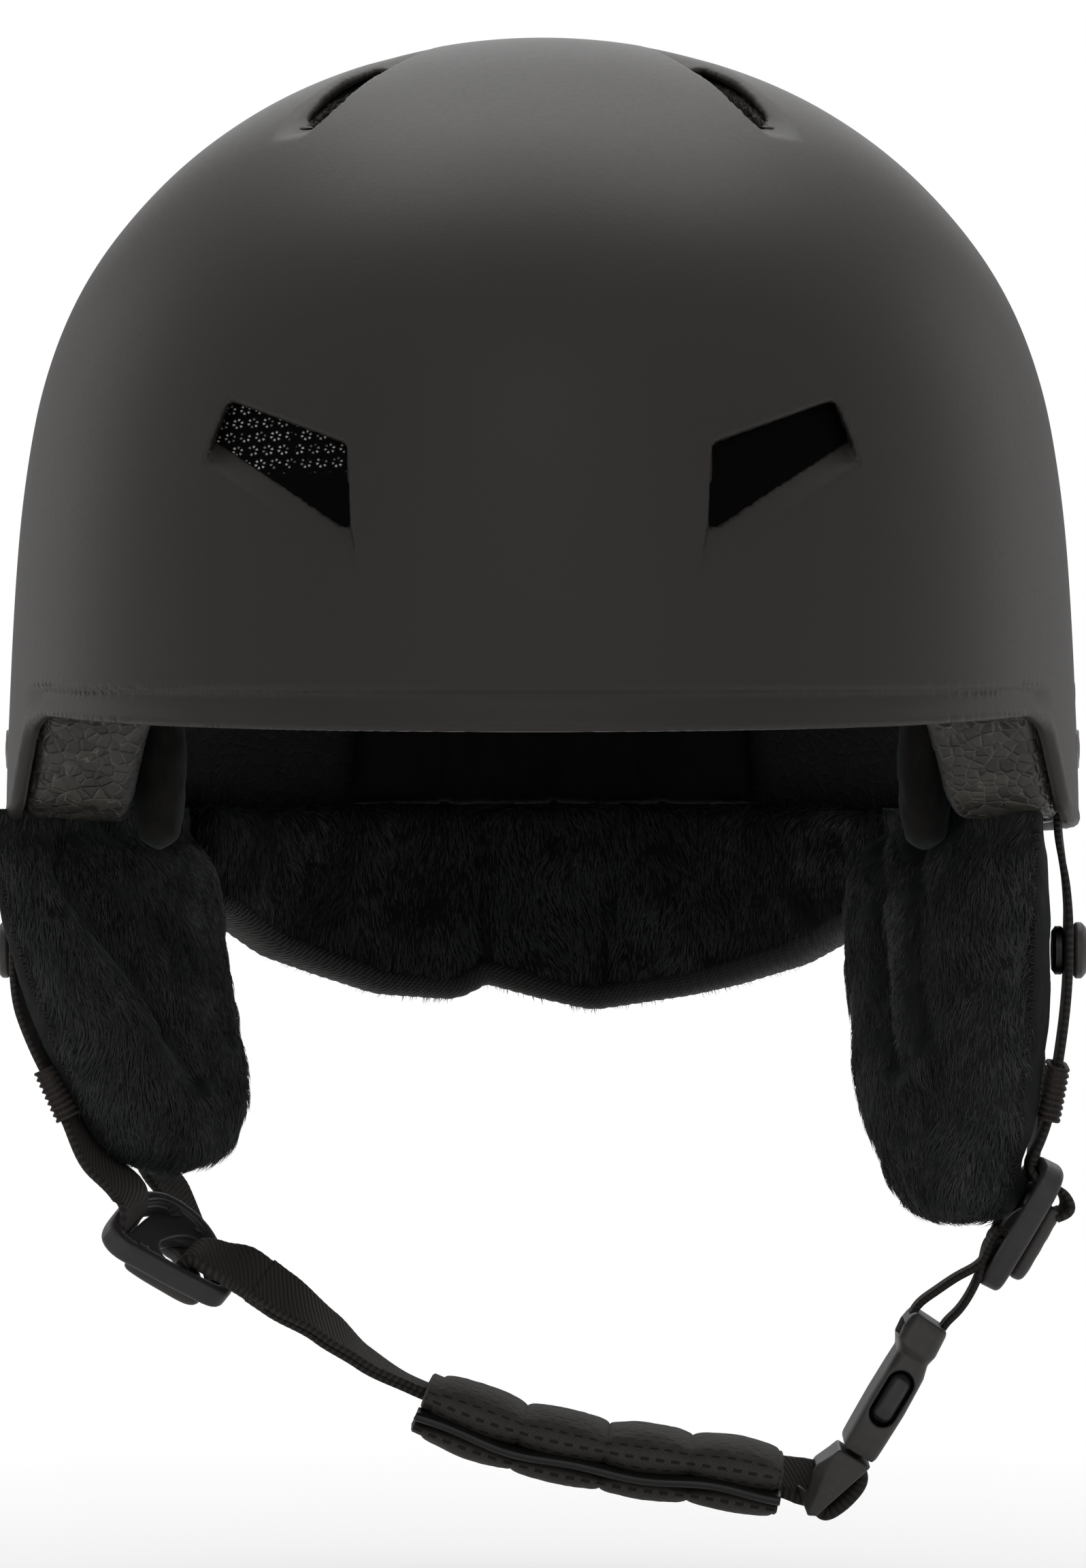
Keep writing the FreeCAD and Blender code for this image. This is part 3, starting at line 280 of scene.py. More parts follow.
def joined(name, objs):
    bpy.ops.object.select_all(action="DESELECT")
    for o in objs:
        o.select_set(True)
    bpy.context.view_layer.objects.active = objs[0]
    if len(objs) > 1:
        bpy.ops.object.join()
    objs[0].name = name
    return objs[0]


# ------------------------------------------------------------------ materials


class Mat:
    def __init__(self, name):
        self.mat = bpy.data.materials.new(name)
        self.mat.use_nodes = True
        self.t = self.mat.node_tree
        self.t.nodes.clear()
        out = self.t.nodes.new("ShaderNodeOutputMaterial")
        self.b = self.t.nodes.new("ShaderNodeBsdfPrincipled")
        self.t.links.new(self.b.outputs[0], out.inputs[0])
        self.co = self.t.nodes.new("ShaderNodeTexCoord")
        self.obj = self.co.outputs["Object"]

    def put(self, sock, val):
        if isinstance(val, bpy.types.NodeSocket):
            self.t.links.new(val, sock)
        elif val is not None:
            if hasattr(sock.default_value, "__len__") and not hasattr(val, "__len__"):
                val = [val] * len(sock.default_value)
            if hasattr(val, "__len__") and len(val) == 3 and len(sock.default_value) == 4:
                val = tuple(val) + (1,)
            sock.default_value = val

    def set(self, **kw):
        names = {"color": "Base Color", "rough": "Roughness", "metal": "Metallic", "spec": "Specular IOR Level", "normal": "Normal",
                 "sheen": "Sheen Weight", "sheen_rough": "Sheen Roughness", "sheen_tint": "Sheen Tint", "coat": "Coat Weight",
                 "coat_rough": "Coat Roughness"}
        for k, v in kw.items():
            self.put(self.b.inputs[names[k]], v)
        return self

    def math(self, op, a, b=None, c=None, clamp=False):
        n = self.t.nodes.new("ShaderNodeMath")
        n.operation = op
        n.use_clamp = clamp
        for s, v in zip(n.inputs, (a, b, c)):
            self.put(s, v)
        return n.outputs[0]

    def noise(self, scale, detail=3.0, rough=0.55, vec=None, dist=0.0):
        n = self.t.nodes.new("ShaderNodeTexNoise")
        self.put(n.inputs["Vector"], vec or self.obj)
        n.inputs["Scale"].default_value = scale
        n.inputs["Detail"].default_value = detail
        n.inputs["Roughness"].default_value = rough
        n.inputs["Distortion"].default_value = dist
        return n.outputs[0]

    def voronoi(self, scale, feature="F1", out="Distance", vec=None, rand=1.0):
        n = self.t.nodes.new("ShaderNodeTexVoronoi")
        n.feature = feature
        self.put(n.inputs["Vector"], vec or self.obj)
        n.inputs["Scale"].default_value = scale
        n.inputs["Randomness"].default_value = rand
        return n.outputs[out]

    def ramp(self, fac, stops):
        n = self.t.nodes.new("ShaderNodeValToRGB")
        el = n.color_ramp.elements
        while len(el) > 1:
            el.remove(el[-1])
        for i, (pos, col) in enumerate(stops):
            e = el[0] if i == 0 else el.new(pos)
            e.position = pos
            col = (col,) * 3 if not hasattr(col, "__len__") else col
            e.color = tuple(col) + (1,)
        self.put(n.inputs[0], fac)
        return n.outputs[0]

    def mix(self, fac, a, b):
        n = self.t.nodes.new("ShaderNodeMix")
        n.data_type = "RGBA"
        self.put(n.inputs[0], fac)
        self.put(n.inputs[6], a)
        self.put(n.inputs[7], b)
        return n.outputs[2]

    def bump(self, height, mm, strength=1.0, normal=None):
        n = self.t.nodes.new("ShaderNodeBump")
        n.inputs["Strength"].default_value = strength
        n.inputs["Distance"].default_value = mm * MM
        self.put(n.inputs["Height"], height)
        if normal is not None:
            self.put(n.inputs["Normal"], normal)
        return n.outputs[0]

    def uv(self):
        n = self.t.nodes.new("ShaderNodeSeparateXYZ")
        self.put(n.inputs[0], self.co.outputs["UV"])
        return n.outputs[0], n.outputs[1]

    def xyz(self):
        n = self.t.nodes.new("ShaderNodeSeparateXYZ")
        self.put(n.inputs[0], self.obj)
        return n.outputs[0], n.outputs[1], n.outputs[2]

    def attr(self, name):
        n = self.t.nodes.new("ShaderNodeAttribute")
        n.attribute_name = name
        return n.outputs["Fac"]

    def scaled(self, s):
        n = self.t.nodes.new("ShaderNodeMapping")
        self.put(n.inputs[0], self.obj)
        n.inputs["Scale"].default_value = s
        return n.outputs[0]


def lin(r, g, b):
    return tuple(((c / 255 + 0.055) / 1.055) ** 2.4 if c > 10 else c / 255 / 12.92 for c in (r, g, b))


def shell_material():
    m = Mat("shell_matte")
    blotch = m.noise(14, 3)
    grain = m.noise(2600, 2, 0.6)
    fine = m.noise(900, 3, 0.5)
    m.set(color=m.mix(m.math("MULTIPLY", blotch, 0.8), lin(46, 42, 39), lin(52, 47, 44)),
          rough=m.math("ADD", m.math("MULTIPLY", blotch, 0.08), m.math("MULTIPLY_ADD", fine, 0.10, 0.40)), spec=0.42,
          normal=m.bump(grain, 0.035, 0.55, m.bump(fine, 0.05, 0.35)))
    return m.mat


def foam_material():
    m = Mat("bead_foam")
    warp = m.noise(240, 2)
    cell = m.voronoi(390, "F1", "Color")
    edge = m.voronoi(390, "DISTANCE_TO_EDGE")
    line = m.math("SUBTRACT", 1.0, m.math("MULTIPLY", edge, 17.0, clamp=True), clamp=True)
    sp = m.t.nodes.new("ShaderNodeSeparateColor")
    m.put(sp.inputs[0], cell)
    tone = m.math("ADD", m.math("MULTIPLY", sp.outputs[0], 0.55), m.math("MULTIPLY", warp, 0.45))
    bead = m.mix(tone, lin(30, 29, 27), lin(78, 75, 69))
    glint = m.math("MULTIPLY", line, m.ramp(m.noise(520, 3), [(0.46, 0.0), (0.66, 1.0)]))
    bead = m.mix(m.math("MULTIPLY", glint, 0.75), bead, lin(122, 118, 111))
    inner = m.attr("inner")
    pile = m.mix(m.noise(700, 3), lin(12, 12, 12), lin(20, 20, 20))
    m.set(color=m.mix(inner, bead, pile), rough=m.math("MULTIPLY_ADD", inner, 0.5, m.math("MULTIPLY_ADD", tone, 0.2, 0.28)), spec=0.5,
          normal=m.bump(m.math("MULTIPLY", edge, 6.0, clamp=True), 0.20, 0.9, m.bump(m.noise(1500, 2), 0.05, 0.5)))
    return m.mat


def plush_material(name, lo, hi, sheen=0.35):
    m = Mat(name)
    a = m.noise(420, 4, 0.6, vec=m.scaled((1, 1, 0.35)), dist=0.6)
    b = m.noise(75, 3, 0.5)
    c = m.math("MULTIPLY_ADD", a, 0.6, m.math("MULTIPLY", b, 0.4))
    m.set(color=m.ramp(c, [(0.30, lo), (0.66, hi)]), rough=0.85, spec=0.12, sheen=sheen, sheen_rough=0.45, sheen_tint=lin(120, 132, 136),
          normal=m.bump(a, 0.35, 0.8, m.bump(b, 0.6, 0.4)))
    return m.mat


def fibre_material():
    m = Mat("plush_fibre")
    r = m.attr("rand")
    m.set(color=m.mix(r, lin(18, 18, 18), lin(76, 77, 75)), rough=m.math("MULTIPLY_ADD", m.noise(300, 2), 0.2, 0.42), spec=0.35, sheen=0.25,
          sheen_tint=lin(130, 140, 144))
    return m.mat


def webbing_material(name, lo, hi, pitch=1.05, slant=0.45, half=7.75):
    m = Mat(name)
    u, v = m.uv()
    av = m.math("ABSOLUTE", v)
    ph = m.math("MULTIPLY", m.math("MULTIPLY_ADD", v, slant, u), 2 * math.pi / pitch)
    rib = m.math("MULTIPLY_ADD", m.math("SINE", ph), 0.5, 0.5)
    warp = m.math("MULTIPLY_ADD", m.math("SINE", m.math("MULTIPLY", v, 2 * math.pi / 0.72)), 0.5, 0.5)
    weave = m.math("MULTIPLY_ADD", rib, 0.7, m.math("MULTIPLY", warp, 0.3))
    bead = m.math("MULTIPLY_ADD", m.math("SINE", m.math("MULTIPLY", u, 2 * math.pi / 1.35)), 0.5, 0.5)
    edge = m.math("MULTIPLY", m.math("SUBTRACT", av, half - 1.5), 1.4, clamp=True)
    n = m.t.nodes.new("ShaderNodeMix")
    m.put(n.inputs[0], edge)
    m.put(n.inputs[2], weave)
    m.put(n.inputs[3], bead)
    pat = n.outputs[0]
    fuzz = m.noise(1700, 3, 0.6)
    tone = m.math("MULTIPLY_ADD", pat, 0.62, m.math("MULTIPLY", fuzz, 0.38))
    m.set(color=m.mix(tone, lo, hi), rough=m.math("MULTIPLY_ADD", fuzz, 0.2, 0.62), spec=0.28, sheen=0.18, sheen_tint=lin(140, 132, 126),
          normal=m.bump(pat, 0.22, 1.0, m.bump(fuzz, 0.08, 0.7)))
    return m.mat


def chin_material():
    m = Mat("chin_mesh_knit")
    u, v = m.uv()
    row = m.math("DIVIDE", v, 2.1)
    odd = m.math("MULTIPLY", m.math("MODULO", m.math("FLOOR", row), 2.0), 0.5)
    fu = m.math("FRACT", m.math("ADD", m.math("DIVIDE", u, 3.1), odd))
    fv = m.math("FRACT", row)
    inu = m.math("MULTIPLY", m.math("SUBTRACT", 0.30, m.math("ABSOLUTE", m.math("SUBTRACT", fu, 0.5))), 14.0, clamp=True)
    inv = m.math("MULTIPLY", m.math("SUBTRACT", 0.15, m.math("ABSOLUTE", m.math("SUBTRACT", fv, 0.5))), 16.0, clamp=True)
    dash = m.math("MULTIPLY", inu, inv)
    knit = m.math("MULTIPLY_ADD", m.math("MULTIPLY", m.math("SINE", m.math("MULTIPLY", u, 8.4)), m.math("SINE", m.math("MULTIPLY", v, 8.4))), 0.5, 0.5)
    fuzz = m.noise(1500, 3)
    base = m.mix(m.math("MULTIPLY_ADD", knit, 0.5, m.math("MULTIPLY", fuzz, 0.5)), lin(40, 38, 36), lin(82, 78, 74))
    h = m.math("SUBTRACT", m.math("MULTIPLY", knit, 0.35), dash)
    m.set(color=m.mix(m.math("MULTIPLY", dash, 0.8), base, lin(13, 13, 12)), rough=0.7, spec=0.25, sheen=0.2, sheen_tint=lin(140, 138, 134),
          normal=m.bump(h, 0.28, 0.9, m.bump(fuzz, 0.08, 0.6)))
    return m.mat


def plastic_material(name, lo, hi, rough=0.4, scratch=0.2):
    m = Mat(name)
    a = m.noise(60, 4, 0.6)
    g = m.noise(2400, 2, 0.6)
    sc = m.ramp(m.noise(800, 2, 0.5, vec=m.scaled((1, 0.15, 1))), [(0.56, 0.0), (0.70, 1.0)])
    m.set(color=m.mix(m.math("MULTIPLY_ADD", a, 0.8, m.math("MULTIPLY", sc, scratch)), lo, hi),
          rough=m.math("MULTIPLY_ADD", a, 0.14, m.math("MULTIPLY_ADD", g, 0.06, rough - 0.08)), spec=0.5, normal=m.bump(g, 0.03, 0.5, m.bump(a, 0.08, 0.2)))
    return m.mat


def metal_material(name, col, rough=0.3):
    m = Mat(name)
    a = m.noise(900, 3)
    m.set(color=m.mix(a, tuple(c * 0.7 for c in col), col), metal=1.0, rough=m.math("MULTIPLY_ADD", a, 0.25, rough - 0.1), normal=m.bump(a, 0.02, 0.4))
    return m.mat


def mesh_material():
    m = Mat("vent_mesh_net")
    x, y, z = m.xyz()
    vx = m.math("MULTIPLY", x, 333.0)
    vz = m.math("MULTIPLY", z, 380.0)
    odd = m.math("MULTIPLY", m.math("MODULO", m.math("ABSOLUTE", m.math("FLOOR", vz)), 2.0), 0.5)
    fx = m.math("SUBTRACT", m.math("FRACT", m.math("ADD", vx, odd)), 0.5)
    fz = m.math("SUBTRACT", m.math("FRACT", vz), 0.5)
    r = m.math("SQRT", m.math("ADD", m.math("MULTIPLY", fx, fx), m.math("MULTIPLY", fz, fz)))
    ring = m.math("SUBTRACT", 1.0, m.math("MULTIPLY", m.math("ABSOLUTE", m.math("SUBTRACT", r, 0.28)), 9.0), clamp=True)
    ang = m.math("ARCTAN2", fz, fx)
    petal = m.math("MULTIPLY_ADD", m.math("SINE", m.math("MULTIPLY", ang, 6.0)), 0.5, 0.5)
    dots = m.math("MULTIPLY", ring, m.math("GREATER_THAN", petal, 0.55))
    # painted light: near-white spots where the bright backdrop shows through the mesh holes, only on the left vent (x
    # below 0) and above z = -61.2 mm
    painted_backlight = m.math("MULTIPLY", dots, m.ramp(m.noise(330, 2), [(0.38, 0.0), (0.55, 1.0)]))
    up = m.math("MULTIPLY", m.math("SUBTRACT", z, -0.0612), 900.0, clamp=True)
    painted_backlight = m.math("MULTIPLY", painted_backlight, m.math("MULTIPLY", up, m.math("LESS_THAN", x, 0.0)))
    m.set(color=m.mix(painted_backlight, lin(3, 3, 3), lin(215, 215, 212)), rough=0.7, spec=0.05, normal=m.bump(dots, 0.2, 0.8))
    return m.mat


SHELL = shell_material()
FOAM = foam_material()
PLUSH = plush_material("plush_pile", lin(13, 13, 13), lin(42, 43, 42))
# the neck-liner pile is darker than the ear pads: painted shade from the helmet's back hanging over the neck liner
PLUSH_PAINTED_SHADE = plush_material("plush_pile_neck", lin(6, 6, 6), lin(20, 20, 20), 0.15)
VELOUR = plush_material("velour", lin(22, 21, 20), lin(40, 38, 36), 0.3)
PILE = plush_material("comfort_pile", lin(7, 7, 7), lin(19, 19, 19), 0.12)
KNIT = plush_material("knit_back", lin(22, 22, 22), lin(44, 44, 43), 0.2)
FIBRE = fibre_material()
WEB = webbing_material("webbing_weave", lin(21, 20, 19), lin(64, 60, 57))
WEB_THIN = webbing_material("webbing_fine", lin(17, 16, 15), lin(50, 47, 44), 0.95, 0.2, 6.8)
ELASTIC = webbing_material("elastic_rib", lin(24, 21, 20), lin(70, 63, 59), 1.2, 0.0, 30.0)
BIND = webbing_material("bound_edge", lin(15, 15, 15), lin(46, 45, 44), 1.3, 0.9, 30.0)
CHIN = chin_material()
PLASTIC = plastic_material("moulded_satin", lin(42, 40, 41), lin(66, 63, 63), 0.40)
PLASTIC_DARK = plastic_material("moulded_dark", lin(50, 48, 47), lin(80, 77, 75), 0.42)
STRIP = plastic_material("sleeve_binding", lin(16, 16, 15), lin(34, 33, 32), 0.34)
BLACK = plastic_material("black_moulding", lin(14, 14, 14), lin(28, 27, 27), 0.45)
STEEL = metal_material("rim_steel", lin(150, 145, 142), 0.34)
DARK_STEEL = metal_material("dark_steel", lin(66, 64, 64), 0.42)
NET = mesh_material()


def dress(ob, mat, body, slot, *nodes):
    ob.data.materials.clear()
    ob.data.materials.append(mat)
    if body:
        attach(ob, body)
    if nodes:
        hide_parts(*nodes)
    return ob


# ------------------------------------------------------------------ the dome and its edge
PROFILE = [(0.0, 0.0), (5.6, .14), (11.8, .56), (16.6, 1.15), (24.6, 2.5), (34.9, 5.3), (43.2, 8.1), (49.8, 10.9),
           (55.2, 13.6), (64.2, 19.2), (73.2, 26.2), (80.2, 33.1), (86.2, 40.1), (91.2, 47.1), (95.1, 54.), (98.2, 61.),
           (100.6, 68.), (102.5, 74.9), (103.8, 81.8), (104.9, 88.8), (105.8, 95.8), (107.0, 109.7), (107.8, 123.6),
           (108.4, 137.5), (108.9, 151.4), (109.0, 160.), (108.6, 172.), (107.5, 184.0)]
pr = np.array(PROFILE)
both = np.concatenate([pr[::-1] * [-1, 1], pr[1:]])
dense, _ = cubic(both, 1400)
arc = np.concatenate([[0], np.cumsum(np.linalg.norm(np.diff(dense, axis=0), axis=1))])
even = np.linspace(0, arc[-1], 800)
curve = np.stack([np.interp(even, arc, dense[:, i]) for i in (0, 1)], 1)
step = even[1]
ker = np.exp(-0.5 * (np.arange(-24, 25) * step / 4.5) ** 2)
ker /= ker.sum()
pad = np.concatenate([2 * curve[0] - curve[24:0:-1], curve, 2 * curve[-1] - curve[-2:-26:-1]])
curve = np.stack([np.convolve(pad[:, i], ker, "valid") for i in (0, 1)], 1)[::2]
ring = np.stack([curve[:, 0], 32 - curve[:, 1]], 1)
ring = np.concatenate([[[ring[0, 0], -420]], ring, [[ring[-1, 0], -420]]])
TR, TZ = np.arange(0, 152, 0.75), np.arange(-175, 52, 0.75)
TAB = poly_sdf(TR[:, None], TZ[None, :], ring) - 0.10
GR, GZ = np.gradient(TAB, 0.75)
KF, KR = 134 / 109, 140 / 109


def bil(T, a, b):
    a = np.clip((a - TR[0]) / 0.75, 0, len(TR) - 1.001)
    b = np.clip((b - TZ[0]) / 0.75, 0, len(TZ) - 1.001)
    a, b = np.broadcast_arrays(a, b)
    i, j = a.astype(np.int32), b.astype(np.int32)
    fa, fb = a - i, b - j
    out = []
    for t in T:
        out.append((t[i, j] * (1 - fb) + t[i, j + 1] * fb) * (1 - fa) + (t[i + 1, j] * (1 - fb) + t[i + 1, j + 1] * fb) * fa)
    return out


def dome(x, y, z):
    k = np.where(y < 0, KF, KR)
    yp = y / k
    r = np.sqrt(x * x + yp * yp) + 1e-6
    d, gr, gz = bil((TAB, GR, GZ), r, z)
    g = np.sqrt(gr * gr * ((x / r) ** 2 + (yp / (r * k)) ** 2) + gz * gz)
    return d / np.maximum(g, 0.3)


EDGE_Y = np.arange(-175, 176, 0.5)
ez = np.interp(EDGE_Y, [-170, -134, -100, -60, -50, -44, -37, -28, 0, 60, 110, 170],
               [-110, -110, -108.5, -106.2, -109, -117, -124.5, -127.5, -128.5, -130, -130, -128])
kk = np.exp(-0.5 * (np.arange(-10, 11) * 0.5 / 1.8) ** 2)
EDGE_Z = np.convolve(np.pad(ez, 10, mode="edge"), kk / kk.sum(), "valid")
EDGE_S = np.gradient(EDGE_Z, 0.5)


def low_edge(y, z, grow=0.0):
    e, s = np.interp(y - grow, EDGE_Y, EDGE_Z) + grow, np.interp(y - grow, EDGE_Y, EDGE_S)
    return (e - z) / np.sqrt(1 + s * s)


FRONT_VENT = [(56.7, -47.8), (34.7, -56.6), (33.6, -71.2), (58.5, -53.8)]
CROWN_VENT = [(45.2, -54.0), (42.6, -61.8), (38.9, -60.2), (34.6, -49.6), (29.8, -37.0), (27.4, -27.0), (32.5, -25.0), (39.0, -38.0)]
REAR_VENT = [(52.0, -22.0), (20.0, -12.0), (20.0, -22.0), (50.0, -34.0)]
RAMP = [(57.2, -46.9), (62.3, -58.9), (31.2, -81.0), (33.3, -70.6), (34.0, -55.8)]
RIDGE_Y = [-74, -69, -66.8, -63.9, -61.2, -52.5, -45.8, -37.7, -20, 0, 18]
RIDGE_X = [48.5, 44.2, 41.9, 40.2, 38.3, 33.7, 29.6, 26.0, 20.5, 17.5, 16.5]


def relief(x, y, z):
    """Inward depth of the shell's outer face in mm: brim step, front ramps and crown scoops."""
    ax = np.abs(x)
    # brim: a step in just under the crease that flares out again to the lip
    crease = np.interp(y, [-134, -60, -46], [-101.8, -100.2, -100.0])
    edge = np.interp(y, EDGE_Y, EDGE_Z)
    t = np.clip((crease - z) / np.maximum(crease - edge, 2.0), -1, 1.4)
    front = 1 - smoothstep(y, -58, -46)
    d = front * (1.55 * smoothstep(t, 0.0, 0.20) * (1 - np.clip(t, 0, 1)) - 0.75 * smoothstep(t, 0.35, 1.0))
    # the same lip goes on as a narrow raised band down the front of the ear drop
    drop = -low_edge(y, z)
    band = (1 - smoothstep(drop, 1.8, 4.2)) * smoothstep(y, -56, -48) * (1 - smoothstep(y, -22, -2))
    d = d - 0.55 * band
    # front ramps
    (x3, z3), (x2, z2) = (62.3, -58.9), (31.2, -81.0)
    ln = math.hypot(x3 - x2, z3 - z2)
    s = ((x3 - x2) * (z - z2) - (z3 - z2) * (ax - x2)) / ln
    along = np.clip(((ax - x2) * (x3 - x2) + (z - z2) * (z3 - z2)) / ln / ln, 0, 1)
    h = 8.6 - 3.6 * along
    mask = smoothstep(-poly_sdf(ax, z, RAMP), -0.2, 0.7)
    d = d + np.where(y < 0, 1.0, 0.0) * mask * 3.3 * np.clip(s / h, 0, 1.25)
    # crown scoops
    rx = np.interp(y, RIDGE_Y, RIDGE_X)
    q = ax - rx
    w = smoothstep(q, -0.2, 1.3) * (1 - smoothstep(q, 5.0, 15.0))
    fade = smoothstep(y, -73, -62) * (1 - smoothstep(y, -36, -12))
    d = d + 4.2 * w * fade * smoothstep(z, 5.5, 11.0)
    return d


def vents(x, y, z, g=0.0):
    ax = np.abs(x)
    a = poly_sdf(ax, z, inset(FRONT_VENT, 1.6)) - 1.25 - g
    b = poly_sdf(ax, y, CROWN_VENT) + 0.3 - g
    c = poly_sdf(ax, z, inset(REAR_VENT, 1.8)) - 1.4 - g
    a = np.maximum(a, y + 60)
    b = np.maximum(b, -25 - z)
    c = np.maximum(c, 60 - y)
    return np.minimum(np.minimum(a, b), c)


def shell_f(x, y, z):
    f = dome(x, y, z)
    d = relief(x, y, z)
    body = rmax(f + d, -(f + np.maximum(2.6, d + 1.5)), 0.9)
    body = rmax(body, low_edge(y, z), 1.7)
    return rmax(body, -vents(x, y, z), 0.7)


shell = sdf_piece("helmet_shell", shell_f, (-112, -137, -133), (112, 143, 35), 1.0)
dress(shell, SHELL, "root", "shell", "outer_shell")


def foam_f(x, y, z):
    f = dome(x, y, z)
    d = relief(x, y, z)
    body = rmax(f + np.maximum(3.2, d + 2.1), -(f + 24.0), 2.4)
    body = rmax(body, low_edge(y, z, 1.2), 3.0)
    ax = np.abs(x)
    for yy, zz, back in ((-12.0, -112.5, 10.5), (54.0, -115.5, 18.0)):
        pocket = np.maximum(np.maximum(yy - back - y, y - yy - 9.8), np.maximum(z - zz - 6, -(f + 9.6)))
        body = rmax(body, -pocket, 1.2)
    return rmax(body, -vents(x, y, z, 1.0), 1.6)


foam = sdf_piece("foam_liner", foam_f, (-110, -133, -132), (110, 139, 31), 1.5,
                 attrs={"inner": lambda p: smoothstep(-dome(*p.T), 21.8, 23.4)},
                 bump=lambda p: 0.16 * vnoise(p, 2.7, 3))
dress(foam, FOAM, "root", "foam", "eps_liner")
for n in ("front_vent_mesh_right", "front_vent_mesh_left"):
    NODES[n].data.materials.clear()
    NODES[n].data.materials.append(NET)


# ------------------------------------------------------------------ comfort pads
def pad_piece(name, region, lo, hi, body_slot, *nodes, seams=None, h=1.5):
    def f(x, y, z):
        d2 = region(x, y, z)
        puff = np.clip(-d2 / 9.0, 0, 1)
        half = 1.7 + 1.0 * np.sqrt(puff)
        if seams is not None:
            half = half - 1.1 * np.exp(-(seams(x, y, z) / 1.4) ** 2)
        s = np.abs(dome(x, y, z) + 26.9) - half
        return rmax(s, d2, 2.6)
    ob = sdf_piece(name, f, lo, hi, h, bump=lambda p: 0.22 * vnoise(p, 3.2, 5) + 0.12 * vnoise(p, 1.6, 6))
    dress(ob, PILE, "root", body_slot, *nodes)
    return ob


def box2(a, b, lo_a, hi_a, lo_b, hi_b):
    return np.maximum(np.maximum(lo_a - a, a - hi_a), np.maximum(lo_b - b, b - hi_b))


pad_piece("brow_cushion", lambda x, y, z: np.maximum(rmax(box2(np.abs(x), z, -1, 88, -107.4, -81), y + 66, 4), -200),
          (-92, -118, -112), (92, -58, -76), "comfort_fabric", "brow_pad", seams=lambda x, y, z: np.minimum(np.abs(np.abs(x) - 30), np.abs(x)) + 0 * z)
pad_piece("crown_cushion", lambda x, y, z: np.maximum(poly_sdf(x, y, [(-13, -62), (13, -62), (17, 0), (13, 66), (-13, 66), (-17, 0)]), -26 - z),
          (-20, -66, -27), (20, 70, 12), "comfort_fabric", "crown_pad", seams=lambda x, y, z: np.abs(y - 2 + 0 * x) + 0 * z)
for side, sg in (("right", -1), ("left", 1)):
    pad_piece("side_cushion_" + side, lambda x, y, z, sg=sg: np.maximum(poly_sdf(y, z, [(-38, -92), (52, -92), (56, -52), (20, -36), (-26, -40)]), 40 - sg * x),
              (min(sg * 40, sg * 96), -42, -96), (max(sg * 40, sg * 96), 60, -30), "comfort_fabric", "side_pad_" + side,
              seams=lambda x, y, z: np.abs(y - 8 - (z + 64) * 0.25))
pad_piece("nape_cushion", lambda x, y, z: np.maximum(poly_sdf(x, z, [(-44, -124), (44, -124), (40, -88), (-40, -88)]), 60 - y),
          (-48, 58, -128), (48, 118, -84), "comfort_fabric", "nape_pad", seams=lambda x, y, z: np.minimum(np.abs(x), np.abs(np.abs(x) - 24)) + 0 * z)


# ------------------------------------------------------------------ plush ear pads, with fibres laid over the pile
def section(a, b, e, t):
    c, s = np.cos(t), np.sin(t)
    return a * np.sign(c) * np.abs(c) ** (2 / e), b * np.sign(s) * np.abs(s) ** (2 / e)


EAR_LEFT = [(-129.4, 88.2, 8.0, 8.0, 42.0, 12.0), (-134.0, 86.2, 8.0, 11.0, 44.0, 13.0), (-146.0, 83.2, 6.0, 13.0, 43.0, 16.0),
            (-160.0, 80.8, 3.0, 13.5, 38.0, 22.0), (-174.0, 78.4, -1.0, 13.0, 33.0, 30.0), (-187.0, 78.0, -4.0, 12.0, 28.0, 36.0),
            (-198.0, 78.0, -6.0, 10.0, 21.0, 38.0), (-206.0, 79.0, -7.0, 5.0, 11.0, 38.0)]
EAR_RIGHT = [(-129.4, 88.2, 8.0, 8.0, 42.0, 12.0), (-134.0, 86.2, 8.0, 11.0, 44.0, 13.0), (-146.0, 83.2, 6.0, 13.0, 43.0, 16.0),
             (-158.0, 80.0, 3.0, 13.5, 38.0, 22.0), (-171.0, 75.6, -1.0, 13.0, 33.0, 30.0), (-183.5, 71.4, -4.0, 12.0, 25.5, 36.0),
             (-193.0, 69.8, -5.5, 9.6, 18.0, 38.0), (-199.0, 70.0, -6.0, 4.6, 8.0, 38.0)]


